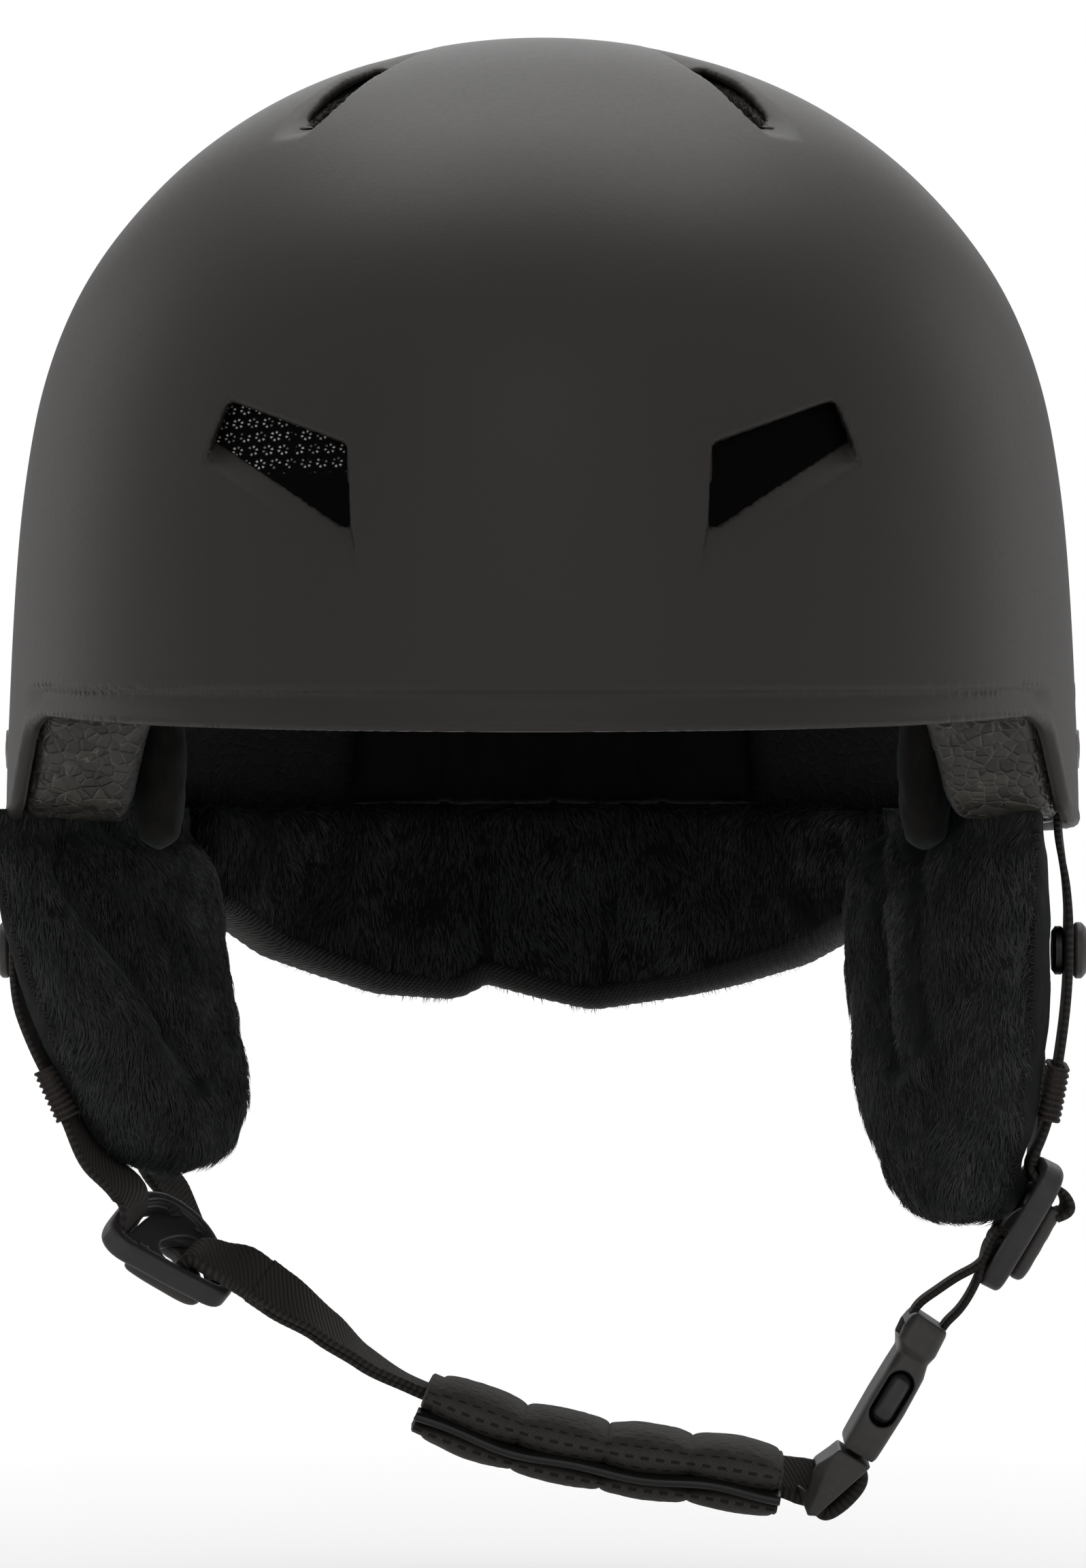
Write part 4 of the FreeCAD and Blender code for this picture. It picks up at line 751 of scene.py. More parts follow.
def ear_surface(table, sg, n=120, m=150):
    tab = np.array(table)
    z0, z1 = -124.5, tab[-1, 0] - (3.0 if sg > 0 else 0.0)
    s = np.linspace(0, 1, n)
    z = z0 + (z1 - z0) * s
    zt = z if sg < 0 else z0 + (z - z0) * (tab[-1, 0] - z0) / (z1 - z0)
    order = np.argsort(tab[:, 0])
    col = [np.interp(zt, tab[order, 0], tab[order, i]) for i in range(1, 6)]
    # the soft pads hang a little further out than the stiff design outline
    zk = [-210, -196, -182, -168, -154, -140, -130]
    col[0] = col[0] + np.interp(z, zk, [6.4, 6.2, 4.6, 3.4, 0.9, -1.6, -2.8] if sg > 0 else [5.8, 6.6, 7.2, 6.8, 6.2, 5.4, 5.0])
    col[4] = np.interp(z, [-200, -186, -170, -150, -130], [24, 24, 23, 20, 18] if sg > 0 else [38, 33, 25, 22, 22])
    if sg > 0:
        col[2] = col[2] + np.interp(z, [-208, -198, -186, -170], [2.5, 1.6, 0.6, 0])
    k = np.exp(-0.5 * (np.arange(-6, 7) / 2.6) ** 2)
    k /= k.sum()
    cx, cy, a, b, yaw = [np.convolve(np.pad(c, 6, mode="edge"), k, "valid") for c in col]
    close = np.sqrt(np.clip(1 - np.clip((s - 0.955) / 0.045, 0, 1) ** 2, 0.02, 1))
    t = np.linspace(0, 2 * np.pi, m, endpoint=False)
    X, Y = section(1.0, 1.0, 2.3, t)
    rot = sg * np.radians(yaw)
    lx, ly = (a * close)[:, None] * X[None], (b * close)[:, None] * Y[None]
    px = sg * cx[:, None] + lx * np.cos(rot)[:, None] - ly * np.sin(rot)[:, None]
    py = cy[:, None] + lx * np.sin(rot)[:, None] + ly * np.cos(rot)[:, None]
    return np.stack([px, py, np.repeat(z[:, None], m, 1)], -1), t


def press(P, sg, lines):
    """Move the pad's outer face inwards where a strap or a snap lies against it."""
    q = P.reshape(-1, 3).copy()
    for line, gap in lines:
        C, knots = cubic([p for p, _ in line], 160)
        W = np.array([unit(w) for _, w in line])
        u = np.linspace(knots[0], knots[-1], 160)
        W = np.stack([np.interp(u, knots, W[:, i]) for i in range(3)], 1)
        w2 = W[:, 1:] / np.linalg.norm(W[:, 1:], axis=1, keepdims=True)
        for k0 in range(0, len(q), 4000):
            r = q[k0:k0 + 4000, None, 1:] - C[None, :, 1:]
            lat = (r * w2[None]).sum(2)
            alo = np.sqrt(np.maximum((r ** 2).sum(2) - lat ** 2, 0))
            j = np.argmin(alo + 0.02 * np.abs(lat), 1)
            i = np.arange(len(j))
            la, al = lat[i, j], alo[i, j]
            lim = np.abs(C[j, 0] + np.clip(la, -7.75, 7.75) * W[j, 0]) - gap + np.maximum(np.abs(la) - 8.6, 0) * 0.9 + np.maximum(al - 1.0, 0) * 2
            x = np.abs(q[k0:k0 + 4000, 0])
            q[k0:k0 + 4000, 0] = sg * rmin(x, lim, 0.8)
    r = np.hypot(q[:, 1] + 18, q[:, 2] + 153)
    q[:, 0] = sg * rmin(np.abs(q[:, 0]), 101.3 + np.maximum(r - 7.0, 0) * 1.1, 0.8)
    return q.reshape(P.shape)


def normals(P, outward):
    du = np.gradient(P, axis=0)
    dv = np.roll(P, -1, 1) - np.roll(P, 1, 1)
    n = np.cross(du, dv)
    n /= np.maximum(np.linalg.norm(n, axis=2, keepdims=True), 1e-9)
    c = P.mean((0, 1))
    if np.einsum("ijk,ijk->", n, P - c) < 0:
        n = -n
    return n if outward else -n


def fibres(name, P, N, weight, count, length, width, lift, seed, comb=(0, 0, -1), dark=1.0):
    """Short curved fibres rooted on the grid surface P, lying along comb. Each is a closed three-sided blade."""
    rng = np.random.default_rng(seed)
    n, m = P.shape[:2]
    w = weight[:-1].ravel() / weight[:-1].sum()
    pick = rng.choice((n - 1) * m, count, p=w)
    i, j = pick // m, pick % m
    fu, fv = rng.random(count)[:, None], rng.random(count)[:, None]
    j1 = (j + 1) % m

    def at(G):
        return (G[i, j] * (1 - fu) + G[i + 1, j] * fu) * (1 - fv) + (G[i, j1] * (1 - fu) + G[i + 1, j1] * fu) * fv
    root, nr = at(P), at(N)
    nr /= np.maximum(np.linalg.norm(nr, axis=1, keepdims=True), 1e-9)
    swirl = np.stack([vnoise(root, 9, seed + 1), vnoise(root, 9, seed + 2), 0.5 * vnoise(root, 9, seed + 3)], 1)
    fine = rng.normal(0, 0.16, (count, 3))
    d = np.asarray(comb, float) + 0.75 * swirl + fine
    d = d - nr * np.einsum("ij,ij->i", d, nr)[:, None]
    d /= np.maximum(np.linalg.norm(d, axis=1, keepdims=True), 1e-9)
    sidev = np.cross(d, nr)
    L = (length * (0.7 + 0.6 * rng.random(count)))[:, None]
    W = (width * (0.7 + 0.6 * rng.random(count)))[:, None]
    up = lift * (0.6 + 0.8 * rng.random(count))[:, None]
    root = root - nr * 0.35
    mid = root + d * L * 0.5 + nr * L * up * 0.80
    tip = root + d * L + nr * L * up * 0.75

    def tri(c, ww):
        return np.stack([c + sidev * ww * .5, c - sidev * ww * .5, c + nr * ww * .45], 1)
    V = np.concatenate([tri(root, W), tri(mid, W * .8), tip[:, None]], 1)
    base = np.arange(count)[:, None, None] * 7
    pat = np.array([[0, 2, 1], [0, 1, 4], [0, 4, 3], [1, 2, 5], [1, 5, 4], [2, 0, 3], [2, 3, 5], [3, 4, 6], [4, 5, 6], [5, 3, 6]])
    T = (base + pat[None]).reshape(-1, 3)
    tone = np.clip(0.45 + 0.35 * vnoise(root, 5, seed + 4) + rng.normal(0, 0.16, count), 0, 1) * dark
    ob = make_mesh(name, V.reshape(-1, 3), tris=T, attrs={"rand": np.repeat(tone, 7)})
    ob.data.materials.append(FIBRE)
    return ob


FRONT_RIGHT = [((104.3, -12, -106.5), (.08, 1, 0)), ((104.3, -12.6, -117), (.08, 1, 0)), ((104.4, -14, -130), (.08, 1, 0)),
               ((105.9, -17, -142), (.02, 1, 0)), ((106.2, -18, -149), (0, 1, 0)), ((106.2, -18, -157), (0, 1, 0)), ((105.4, -18, -167), (0, 1, 0)),
               ((103.9, -17.5, -177), (0, 1, 0)), ((101.9, -17, -187), (0, 1, 0)), ((99.6, -16.7, -193.2), (0, 1, 0)), ((98.6, -16.6, -197.0), (-.04, 1, 0)),
               ((101.2, -17.2, -199.6), (-.06, 1, .03)), ((104.9, -17.4, -201.7), (-.08, 1, .04)), ((105.9, -17.6, -204.9), (-.08, 1, .04)),
               ((103.2, -17.8, -206.6), (-.08, 1, .04))]
FRONT_LEFT = [((-104.3, -12, -106.5), (-.08, 1, 0)), ((-104.3, -12.6, -117), (-.08, 1, 0)), ((-104.4, -14, -130), (-.08, 1, 0)),
              ((-105.9, -17, -142), (-.02, 1, 0)), ((-106.2, -18, -149), (0, 1, 0)), ((-106.2, -18, -157), (0, 1, 0)), ((-104.0, -18.5, -167), (.05, 1, 0)),
              ((-99.0, -19, -177), (.1, 1, .05)), ((-94.4, -19, -187), (.15, 1, .1)), ((-89.0, -18.8, -196.6), (.2, 1, .2)), ((-82.7, -18.7, -203.4), (.226, .93, .28)), ((-82.9, -18.9, -207.8), (.226, .93, .28)),
              ((-84.6, -17.8, -211.4), (.226, .93, .28))]
REAR_RIGHT = [((96.3, 54, -109), (-.32, .95, 0)), ((96.3, 54, -118), (-.32, .95, 0)), ((97.0, 51, -131), (-.30, .95, -.1)),
              ((99.0, 41, -149), (-.25, .93, -.3)), ((101.0, 29, -166), (-.15, .9, -.4)), ((101.6, 17, -180), (-.1, .9, -.4)),
              ((100.9, 6.0, -189.6), (-.1, .93, -.35)), ((99.9, -1.6, -196.4), (-.1, .95, -.3)), ((98.7, -6.6, -201.3), (-.09, .97, -.2))]
REAR_LEFT = [((-96.3, 54, -109), (.32, .95, 0)), ((-96.3, 54, -118), (.32, .95, 0)), ((-97.0, 51, -131), (.30, .95, -.1)),
             ((-97.6, 41, -149), (.25, .93, -.3)), ((-95.5, 29, -166), (.2, .9, -.4)), ((-90.5, 17.5, -181), (.2, .9, -.35)),
             ((-83.5, 7.5, -193.5), (.22, .9, -.1)), ((-76.8, 1.6, -201.8), (.226, .93, .28)), ((-72.6, -2.4, -208.3), (.226, .93, .28))]
FOLDS = {1: [[(70.5, -126), (69.5, -145), (70.0, -160), (72.0, -176)], [(78.0, -126), (77.0, -140), (76.5, -156), (77.5, -170)]],
         -1: [[(-98, -128), (-96.3, -135.6), (-93.6, -142), (-82.8, -155.6), (-76.4, -167.4), (-70.0, -178.4)]]}


def line_dist(x, z, pts):
    d = np.full(np.shape(x), 1e9)
    for (ax, az), (bx, bz) in zip(pts[:-1], pts[1:]):
        ex, ez_ = bx - ax, bz - az
        t = np.clip(((x - ax) * ex + (z - az) * ez_) / (ex * ex + ez_ * ez_), 0, 1)
        d = np.minimum(d, np.hypot(x - ax - t * ex, z - az - t * ez_))
    return d


for side, sg, table in (("left", 1, EAR_LEFT), ("right", -1, EAR_RIGHT)):
    P, t = ear_surface(table, sg)
    P = press(P, sg, [(FRONT_RIGHT, 2.1), (REAR_RIGHT, 1.7)] if sg > 0 else [(FRONT_LEFT, 2.1), (REAR_LEFT, 1.7)])
    N = normals(P, True)
    outer = N[:, :, 0] * sg
    q = P.reshape(-1, 3)
    puff = 0.55 * vnoise(q, 11, 21) + 0.45 * vnoise(q, 4.6, 22) + 0.25 * vnoise(q * [1, 1, .5], 2.1, 23)
    plush = 1 - smoothstep(outer, 0.30, 0.62)
    puff = puff.reshape(P.shape[:2]) * (0.25 + 0.75 * plush)
    # sewn fold where the inner face meets the front gusset, and two gathers on the inner face
    tt = t[None, :]
    zz = (P[:, :, 2] + 129.4) / (table[-1][0] + 129.4)
    front_corner = (np.pi * 1.22 if sg > 0 else np.pi * 1.78) + 0 * zz
    facing = smoothstep(-N[:, :, 1] - 0.4 * N[:, :, 0] * sg, -0.15, 0.35)
    for fold in FOLDS[sg]:
        d2 = line_dist(P[:, :, 0], P[:, :, 2], fold)
        puff = puff - 2.0 * np.exp(-(d2 / 1.7) ** 2) * facing + 0.7 * np.exp(-((d2 - 4.5) / 2.4) ** 2) * facing
    P2 = P + N * puff[:, :, None] - N * 0.2
    u = np.concatenate([[0], np.cumsum(np.linalg.norm(np.diff(P2[:, 0], axis=0), axis=1))])
    ob = grid_piece("ear_cushion_" + side, P2, u, np.linspace(0, 150, P.shape[1] + 1))
    ob.data.materials.append(PLUSH)
    ob.data.materials.append(KNIT)
    ctr = np.zeros(len(ob.data.polygons) * 3)
    ob.data.polygons.foreach_get("normal", ctr)
    which = (ctr.reshape(-1, 3)[:, 0] * sg > 0.50).astype(np.int32)
    ob.data.polygons.foreach_set("material_index", which)
    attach(ob, "root")
    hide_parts("ear_pad_" + side)
    wt = np.clip(plush, 0, 1) ** 2 * np.linalg.norm(np.roll(P, -1, 1) - P, axis=2)
    fb = fibres("ear_pile_" + side, P2, N, wt, 24000, 3.7, 0.27, 0.17, 41 if sg > 0 else 51)
    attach(fb, "root")
    # zigzag-stitched edge where the pile meets the knit back, down the front of the pad
    jj = np.array([int(np.argmin(np.abs(np.where(P[i, :, 1] < P[i, :, 1].mean(), outer[i], 9) - 0.46))) for i in range(P.shape[0])])
    line = P2[np.arange(P.shape[0]), jj][4:-8]
    nn = N[np.arange(P.shape[0]), jj][4:-8]
    k = np.ones(9) / 9
    line = np.stack([np.convolve(np.pad(line[:, i], 4, mode="edge"), k, "valid") for i in range(3)], 1)
    line, _ = cubic(line[::4], 420)
    nn = np.stack([np.interp(np.linspace(0, 1, 420), np.linspace(0, 1, len(nn)), nn[:, i]) for i in range(3)], 1)
    tan = np.gradient(line, axis=0)
    tan /= np.linalg.norm(tan, axis=1, keepdims=True)
    acr = np.cross(tan, nn)
    zig = np.abs(((np.arange(420) / 5.0) % 2) - 1)[:, None] * 2 - 1
    c = line + nn * 0.30 + acr * zig * 1.05
    ct = np.gradient(c, axis=0)
    ct /= np.linalg.norm(ct, axis=1, keepdims=True)
    cb = np.cross(ct, nn)
    cb /= np.linalg.norm(cb, axis=1, keepdims=True)
    a = np.linspace(0, 2 * np.pi, 7, endpoint=False)
    T = c[:, None] + 0.15 * (np.cos(a)[None, :, None] * nn[:, None] + np.sin(a)[None, :, None] * cb[:, None])
    st = grid_piece("ear_zigzag_" + side, T, np.arange(420) * 0.3, np.linspace(0, 2, 8))
    dress(st, BIND, "root", "plush")


# temple pads
for side, sg in (("right", -1), ("left", 1)):
    tab = np.array([(-133.0, 1.8, 5.0), (-130.5, 4.3, 8.5), (-122.0, 5.5, 10.0), (-112.0, 5.8, 10.0), (-104.0, 4.6, 9.5)])
    n, m = 60, 60
    z = np.linspace(-133.0, -104.0, n)
    a, b = np.interp(z, tab[:, 0], tab[:, 1]), np.interp(z, tab[:, 0], tab[:, 2])
    k = np.exp(-0.5 * (np.arange(-4, 5) / 2.0) ** 2)
    a, b = [np.convolve(np.pad(c, 4, mode="edge"), k / k.sum(), "valid") for c in (a, b)]
    cl = np.sqrt(np.clip(1 - np.clip((z - -107.5) / 3.5, 0, 1) ** 2, 0.05, 1)) * np.sqrt(np.clip(1 - np.clip((-130.5 - z) / 2.5, 0, 1) ** 2, 0.05, 1))
    t = np.linspace(0, 2 * np.pi, m, endpoint=False)
    X, Y = section(1, 1, 2.3, t)
    r = sg * math.radians(-5)
    lx, ly = (a * cl)[:, None] * X, (b * cl)[:, None] * Y
    P = np.stack([sg * 77.6 + lx * math.cos(r) - ly * math.sin(r), -13 + lx * math.sin(r) + ly * math.cos(r), np.repeat(z[:, None], m, 1)], -1)
    N = normals(P, True)
    P = P + N * (0.25 * vnoise(P.reshape(-1, 3), 3.0, 61)).reshape(n, m)[:, :, None] - N * 0.1
    ob = grid_piece("temple_cushion_" + side, P, z - z[0], np.linspace(0, 45, m + 1))
    dress(ob, VELOUR, "root", "comfort_fabric", "temple_pad_" + side)

# neck liner: a plush curtain round the back, with a bound lower edge
OUT_X = [-76, -70, -60, -49.8, -37.8, -22, -17.8, -15.3, -10, -1.8, 8.7, 13.9, 29.7, 40.2, 53.7, 63.4, 72, 76]
OUT_Z = [-146, -147, -155.5, -159.8, -164.2, -165.6, -163.6, -162.0, -163.5, -165.7, -168.0, -167.2, -164.6, -162.0, -157.4, -151.4, -147, -146]
n, m = 220, 90
ang = np.radians(np.linspace(21, 159, n))
v = np.linspace(0, 2 * np.pi, m, endpoint=False)
sx, sz = section(1, 1, 3.6, v)
mx = 79.5 * np.cos(ang)
zb = np.interp(mx, OUT_X, OUT_Z)
k = np.exp(-0.5 * (np.arange(-4, 5) / 1.6) ** 2)
zb = np.convolve(np.pad(zb, 4, mode="edge"), k / k.sum(), "valid")
zt = np.full(n, -124.0)
zc, hz = (zb + zt) / 2, (zt - zb) / 2
endc = np.sqrt(np.clip(1 - np.clip((np.abs(np.linspace(-1, 1, n)) - 0.965) / 0.035, 0, 1) ** 2, 0.04, 1))
th = 4.2 * endc
ru, rv = 79.5 + th[:, None] * sx[None], 109.5 + th[:, None] * sx[None]
P = np.stack([ru * np.cos(ang)[:, None], rv * np.sin(ang)[:, None], zc[:, None] + (hz * endc)[:, None] * sz[None]], -1)
N = normals(P, True)
q = P.reshape(-1, 3)
wav = (0.9 * vnoise(q, 14, 71) + 0.4 * vnoise(q, 5, 72) + 0.2 * vnoise(q, 2.2, 73)).reshape(n, m)
for xs in (-16.0, 12.0):
    wav = wav - 1.6 * np.exp(-((P[:, :, 0] - xs) / 1.6) ** 2)
P2 = P + N * (wav - 0.3)[:, :, None]
ob = grid_piece("neck_curtain", P2, np.linspace(0, 190, n), np.linspace(0, 80, m + 1))
dress(ob, PLUSH_PAINTED_SHADE, "root", "plush", "neck_liner")
inward = smoothstep(-(N[:, :, 0] * np.cos(ang)[:, None] + N[:, :, 1] * np.sin(ang)[:, None]), -0.3, 0.3)
# neck fibres scaled down to 0.35 of their tone: painted shade from the helmet above the neck liner
fb = fibres("neck_pile", P2, N, inward * np.linalg.norm(np.roll(P, -1, 1) - P, axis=2) + 1e-9, 18000, 3.7, 0.28, 0.15, 81, dark=0.35)
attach(fb, "root")
line = np.stack([79.6 * np.cos(ang), 109.6 * np.sin(ang), zb + 1.6], 1)[4:-4]
nb = len(line)
tan = np.gradient(line, axis=0)
tan /= np.linalg.norm(tan, axis=1, keepdims=True)
rad = np.stack([np.cos(ang), np.sin(ang), 0 * ang], 1)[4:-4]
dn = np.cross(tan, rad)
dn /= np.linalg.norm(dn, axis=1, keepdims=True)
a = np.linspace(0, 2 * np.pi, 24, endpoint=False)
cx_, cy_ = section(4.3, 2.9, 2.6, a)
rib = 1 + 0.035 * np.sin(np.arange(nb) * 2.1)[:, None]
T = line[:, None] + (cx_[None] * rib)[:, :, None] * rad[:, None] + (cy_[None] * rib)[:, :, None] * dn[:, None]
ob = grid_piece("neck_binding", T, np.arange(nb) * 0.95, np.linspace(0, 24, 25))
dress(ob, BIND, "root", "plush")


# ------------------------------------------------------------------ webbing
def band(name, pts, w, t, n=110, mat=WEB, wiggle=0.12, seed=0, ws=None):
    """Woven strap with rounded edges along a smooth line; each point is (centre, width direction)."""
    C, knots = cubic([p for p, _ in pts], n)
    wd = np.array([unit(a) for _, a in pts])
    u = np.linspace(knots[0], knots[-1], n)
    k = np.clip(np.searchsorted(knots, u, side="right") - 1, 0, len(pts) - 2)
    f = smoothstep((u - knots[k]) / (knots[k + 1] - knots[k]))[:, None]
    W = wd[k] * (1 - f) + wd[k + 1] * f
    T = np.gradient(C, axis=0)
    T /= np.linalg.norm(T, axis=1, keepdims=True)
    W = W - T * np.einsum("ij,ij->i", W, T)[:, None]
    W /= np.linalg.norm(W, axis=1, keepdims=True)
    N = np.cross(T, W)
    r = t / 2
    half = []
    for s in np.linspace(-np.pi / 2, np.pi / 2, 6):
        half.append((w / 2 - r + r * math.cos(s), r * math.sin(s)))
    flat = [(x, r) for x in np.linspace(w / 2 - r, -(w / 2 - r), 12)[1:-1]]
    left = [(-x, -y) for x, y in half]
    flat2 = [(-x, -y) for x, y in flat]
    prof = np.array(half + flat + left + flat2)
    length = np.concatenate([[0], np.cumsum(np.linalg.norm(np.diff(C, axis=0), axis=1))])
    rng = np.random.default_rng(seed + 5)
    ph = rng.random() * 6
    sway = wiggle * np.sin(length / 9.0 + ph)[:, None]
    edge = 1 + 0.008 * np.sin(length * 4.6)[:, None]
    if ws is not None:
        edge = edge * np.interp(u, knots, np.asarray(ws, float) / w)[:, None]
    P = C[:, None] + (prof[None, :, 0] * edge)[:, :, None] * W[:, None] + (prof[None, :, 1] + sway)[:, :, None] * N[:, None]
    ob = grid_piece(name, P, length, np.concatenate([prof[:, 0], prof[:1, 0]]))
    ob.data.materials.append(mat)
    return ob


for i, (name, line, node) in enumerate((("front_webbing_left", FRONT_RIGHT, "strap_front_left"), ("front_webbing_right", FRONT_LEFT, "strap_front_right"),
                                        ("rear_webbing_left", REAR_RIGHT, "strap_rear_left"), ("rear_webbing_right", REAR_LEFT, "strap_rear_right"))):
    ends = [15.5] * (len(line) - 3) + ([15.0, 12.5, 9.5] if name.startswith("rear") else [15.5] * 3)
    ob = band(name, line, 15.5, 1.4, n=190, seed=i, ws=ends)
    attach(ob, "root")
    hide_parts(node)

# ribbed elastic keepers
for side, line, kf in (("right", FRONT_LEFT, 0.74), ("left", FRONT_RIGHT, 0.80)):
    C, knots = cubic([p for p, _ in line], 201)
    i = int(np.argmin(np.abs(C[:, 2] + 181.5)))
    c, tan = C[i], unit(C[i + 1] - C[i - 1])
    wv = unit(np.array(line[7][1], float))
    wv = unit(wv - tan * wv.dot(tan))
    up = -tan
    nv = np.cross(up, wv)
    h = np.linspace(-5.5, 5.5, 90)
    a = np.linspace(0, 2 * np.pi, 72, endpoint=False)
    ox, oy = section(1, 1, 5.0, a)
    rib = 0.26 * np.cos(h * 2 * np.pi / 1.3)
    env = np.sqrt(np.clip(1 - (h / 5.6) ** 8, 0.05, 1))
    outerP = c + h[:, None, None] * up + ((9.35 * ox)[None] + (rib * env)[:, None] * ox[None])[:, :, None] * wv + \
        ((2.1 * oy)[None] + (rib * env)[:, None] * oy[None])[:, :, None] * nv
    innerP = c + h[::-1][:, None, None] * up + (8.35 * ox)[None, :, None] * wv + (1.15 * oy)[None, :, None] * nv
    P = np.concatenate([outerP, innerP, outerP[:1]])
    u = np.concatenate([h + 5.5, 11 + h + 5.5, [22.0]])
    ob = grid_piece("elastic_keeper_" + side, P, u, np.linspace(0, 48, 73), caps=False)
    dress(ob, ELASTIC, "root", "elastic", "strap_keeper_" + side)


# ------------------------------------------------------------------ fasteners
def side_point(y, z, sg):
    dd = 32 - z
    r = np.interp(dd, pr[:, 1], pr[:, 0])
    k = KF if y < 0 else KR
    x = math.sqrt(r * r - (y / k) ** 2)
    nrm = unit([x, y / k / k, 0])
    return np.array([sg * x, y, z]), np.array([sg * nrm[0], nrm[1], 0])


parts, rims = [], []
for sg in (-1, 1):
    for y, z in ((-12.0, -112.5), (54.0, -115.5)):
        p, nr = side_point(y, z, sg)
        o = p - nr * 0.85
        parts.append(lathe("rv", [(0, -6.4), (1.9, -6.4), (1.9, 0.02), (2.9, 0.05), (3.0, 1.0), (2.5, 1.38), (1.2, 1.5), (0, 1.52)], o, nr))
        rims.append(lathe("rr", [(2.9, 0.0), (4.15, 0.0), (4.15, 0.8), (3.85, 1.32), (3.35, 1.36), (3.0, 1.05), (2.9, 0.0)], o, nr))
dress(joined("rivet_heads", parts), DARK_STEEL, "root", "steel", "strap_rivets")
dress(joined("rivet_rims", rims), STEEL, "root", "steel")
parts = []
for sg in (-1, 1):
    p, nr = side_point(4.0, -101.5, sg)
    parts.append(lathe("pl", [(0, -9), (1.8, -9), (2.2, -8), (2.2, 0), (3.6, 0), (3.6, 0.6), (3.05, 1.15), (1.2, 1.2), (0.9, 0.9), (0, 0.85)], p - nr * 0.65, nr))
dress(joined("push_plugs", parts), BLACK, "root", "moulded", "liner_plugs")
parts = []
for sg in (-1, 1):
    o = np.array([sg * 106.2, -18, -153]) + np.array([sg * 0.95, 0, 0])
    parts.append(lathe("sc", [(0, -3.4), (1.9, -3.4), (1.9, 0), (5.1, 0), (5.7, .5), (5.7, 1.65), (4.7, 2.55), (3.2, 2.75), (3.0, 2.5), (0, 2.35)], o, [sg, 0, 0]))
dress(joined("snap_heads", parts), PLASTIC_DARK, "root", "moulded", "snap_caps")
for n, mt in (("rivet_washers", STEEL), ("snap_sockets", DARK_STEEL), ("divider_pins", PLASTIC), ("goggle_retainer_pin", STEEL)):
    NODES[n].data.materials.clear()
    NODES[n].data.materials.append(mt)
    NODES[n].data.shade_smooth() if False else None

# ------------------------------------------------------------------ strap dividers and lock levers
OUTLINE = [(-13.5, 3.0), (-12.3, -0.6), (-9.4, -2.4), (-3.8, -1.0), (4.0, 2.0), (10.0, 4.8), (13.9, 7.7), (14.6, 10.5), (12.8, 15.0),
           (9.5, 20.0), (6.0, 24.5), (2.0, 27.4), (-3.5, 28.2), (-8.5, 26.4), (-12.2, 21.0), (-13.8, 12.0)]
SLOT_UP = [(-11.4, 3.5), (-10.0, 1.6), (-8.2, 2.6), (-7.2, 6.0), (-7.0, 12.0), (-5.6, 18.0), (-2.2, 22.6), (-2.4, 25.0), (-5.4, 25.4),
           (-9.0, 22.6), (-11.2, 17.0), (-12.0, 10.0)]
SLOT_LOW = [(-3.2, 8.0), (-2.8, 13.0), (-1.0, 18.0), (2.4, 21.4), (5.4, 20.6), (8.6, 16.0), (10.8, 11.4), (9.0, 8.0), (4.4, 5.6), (0.0, 4.8)]
LEVER = [(-9.5, 3.2), (-4.0, 2.4), (4.0, 4.6), (10.6, 8.6), (10.8, 12.4), (8.0, 17.4), (4.4, 21.6), (-1.0, 23.6), (-6.4, 22.4), (-9.8, 17.0), (-10.6, 10.0)]
LEVER_HOLE = [(-4.2, 10.2), (-1.6, 8.0), (3.4, 9.0), (6.2, 11.6), (4.4, 15.6), (0.6, 18.0), (-3.0, 16.6)]
N_L, L_L = unit((.585, -.36, .725)), unit((.777, 0, -.627))
W_L = np.cross(N_L, L_L)
L_R = unit((-.447, 0, -.894))
N_R = unit((-.89, -.1, .445))
N_R = unit(N_R - L_R * N_R.dot(L_R))
W_R = np.cross(L_R, N_R)
DIV = {"right": (np.array((-75.95, -28.0, -215.6)), L_L, W_L, N_L, 1), "left": (np.array((95.3, -28.0, -207.3)), -L_R, W_R, N_R, -1)}


def outline(pts, m):
    c, _ = cubic([(m * a, b) for a, b in pts], 72, closed=True)
    return c


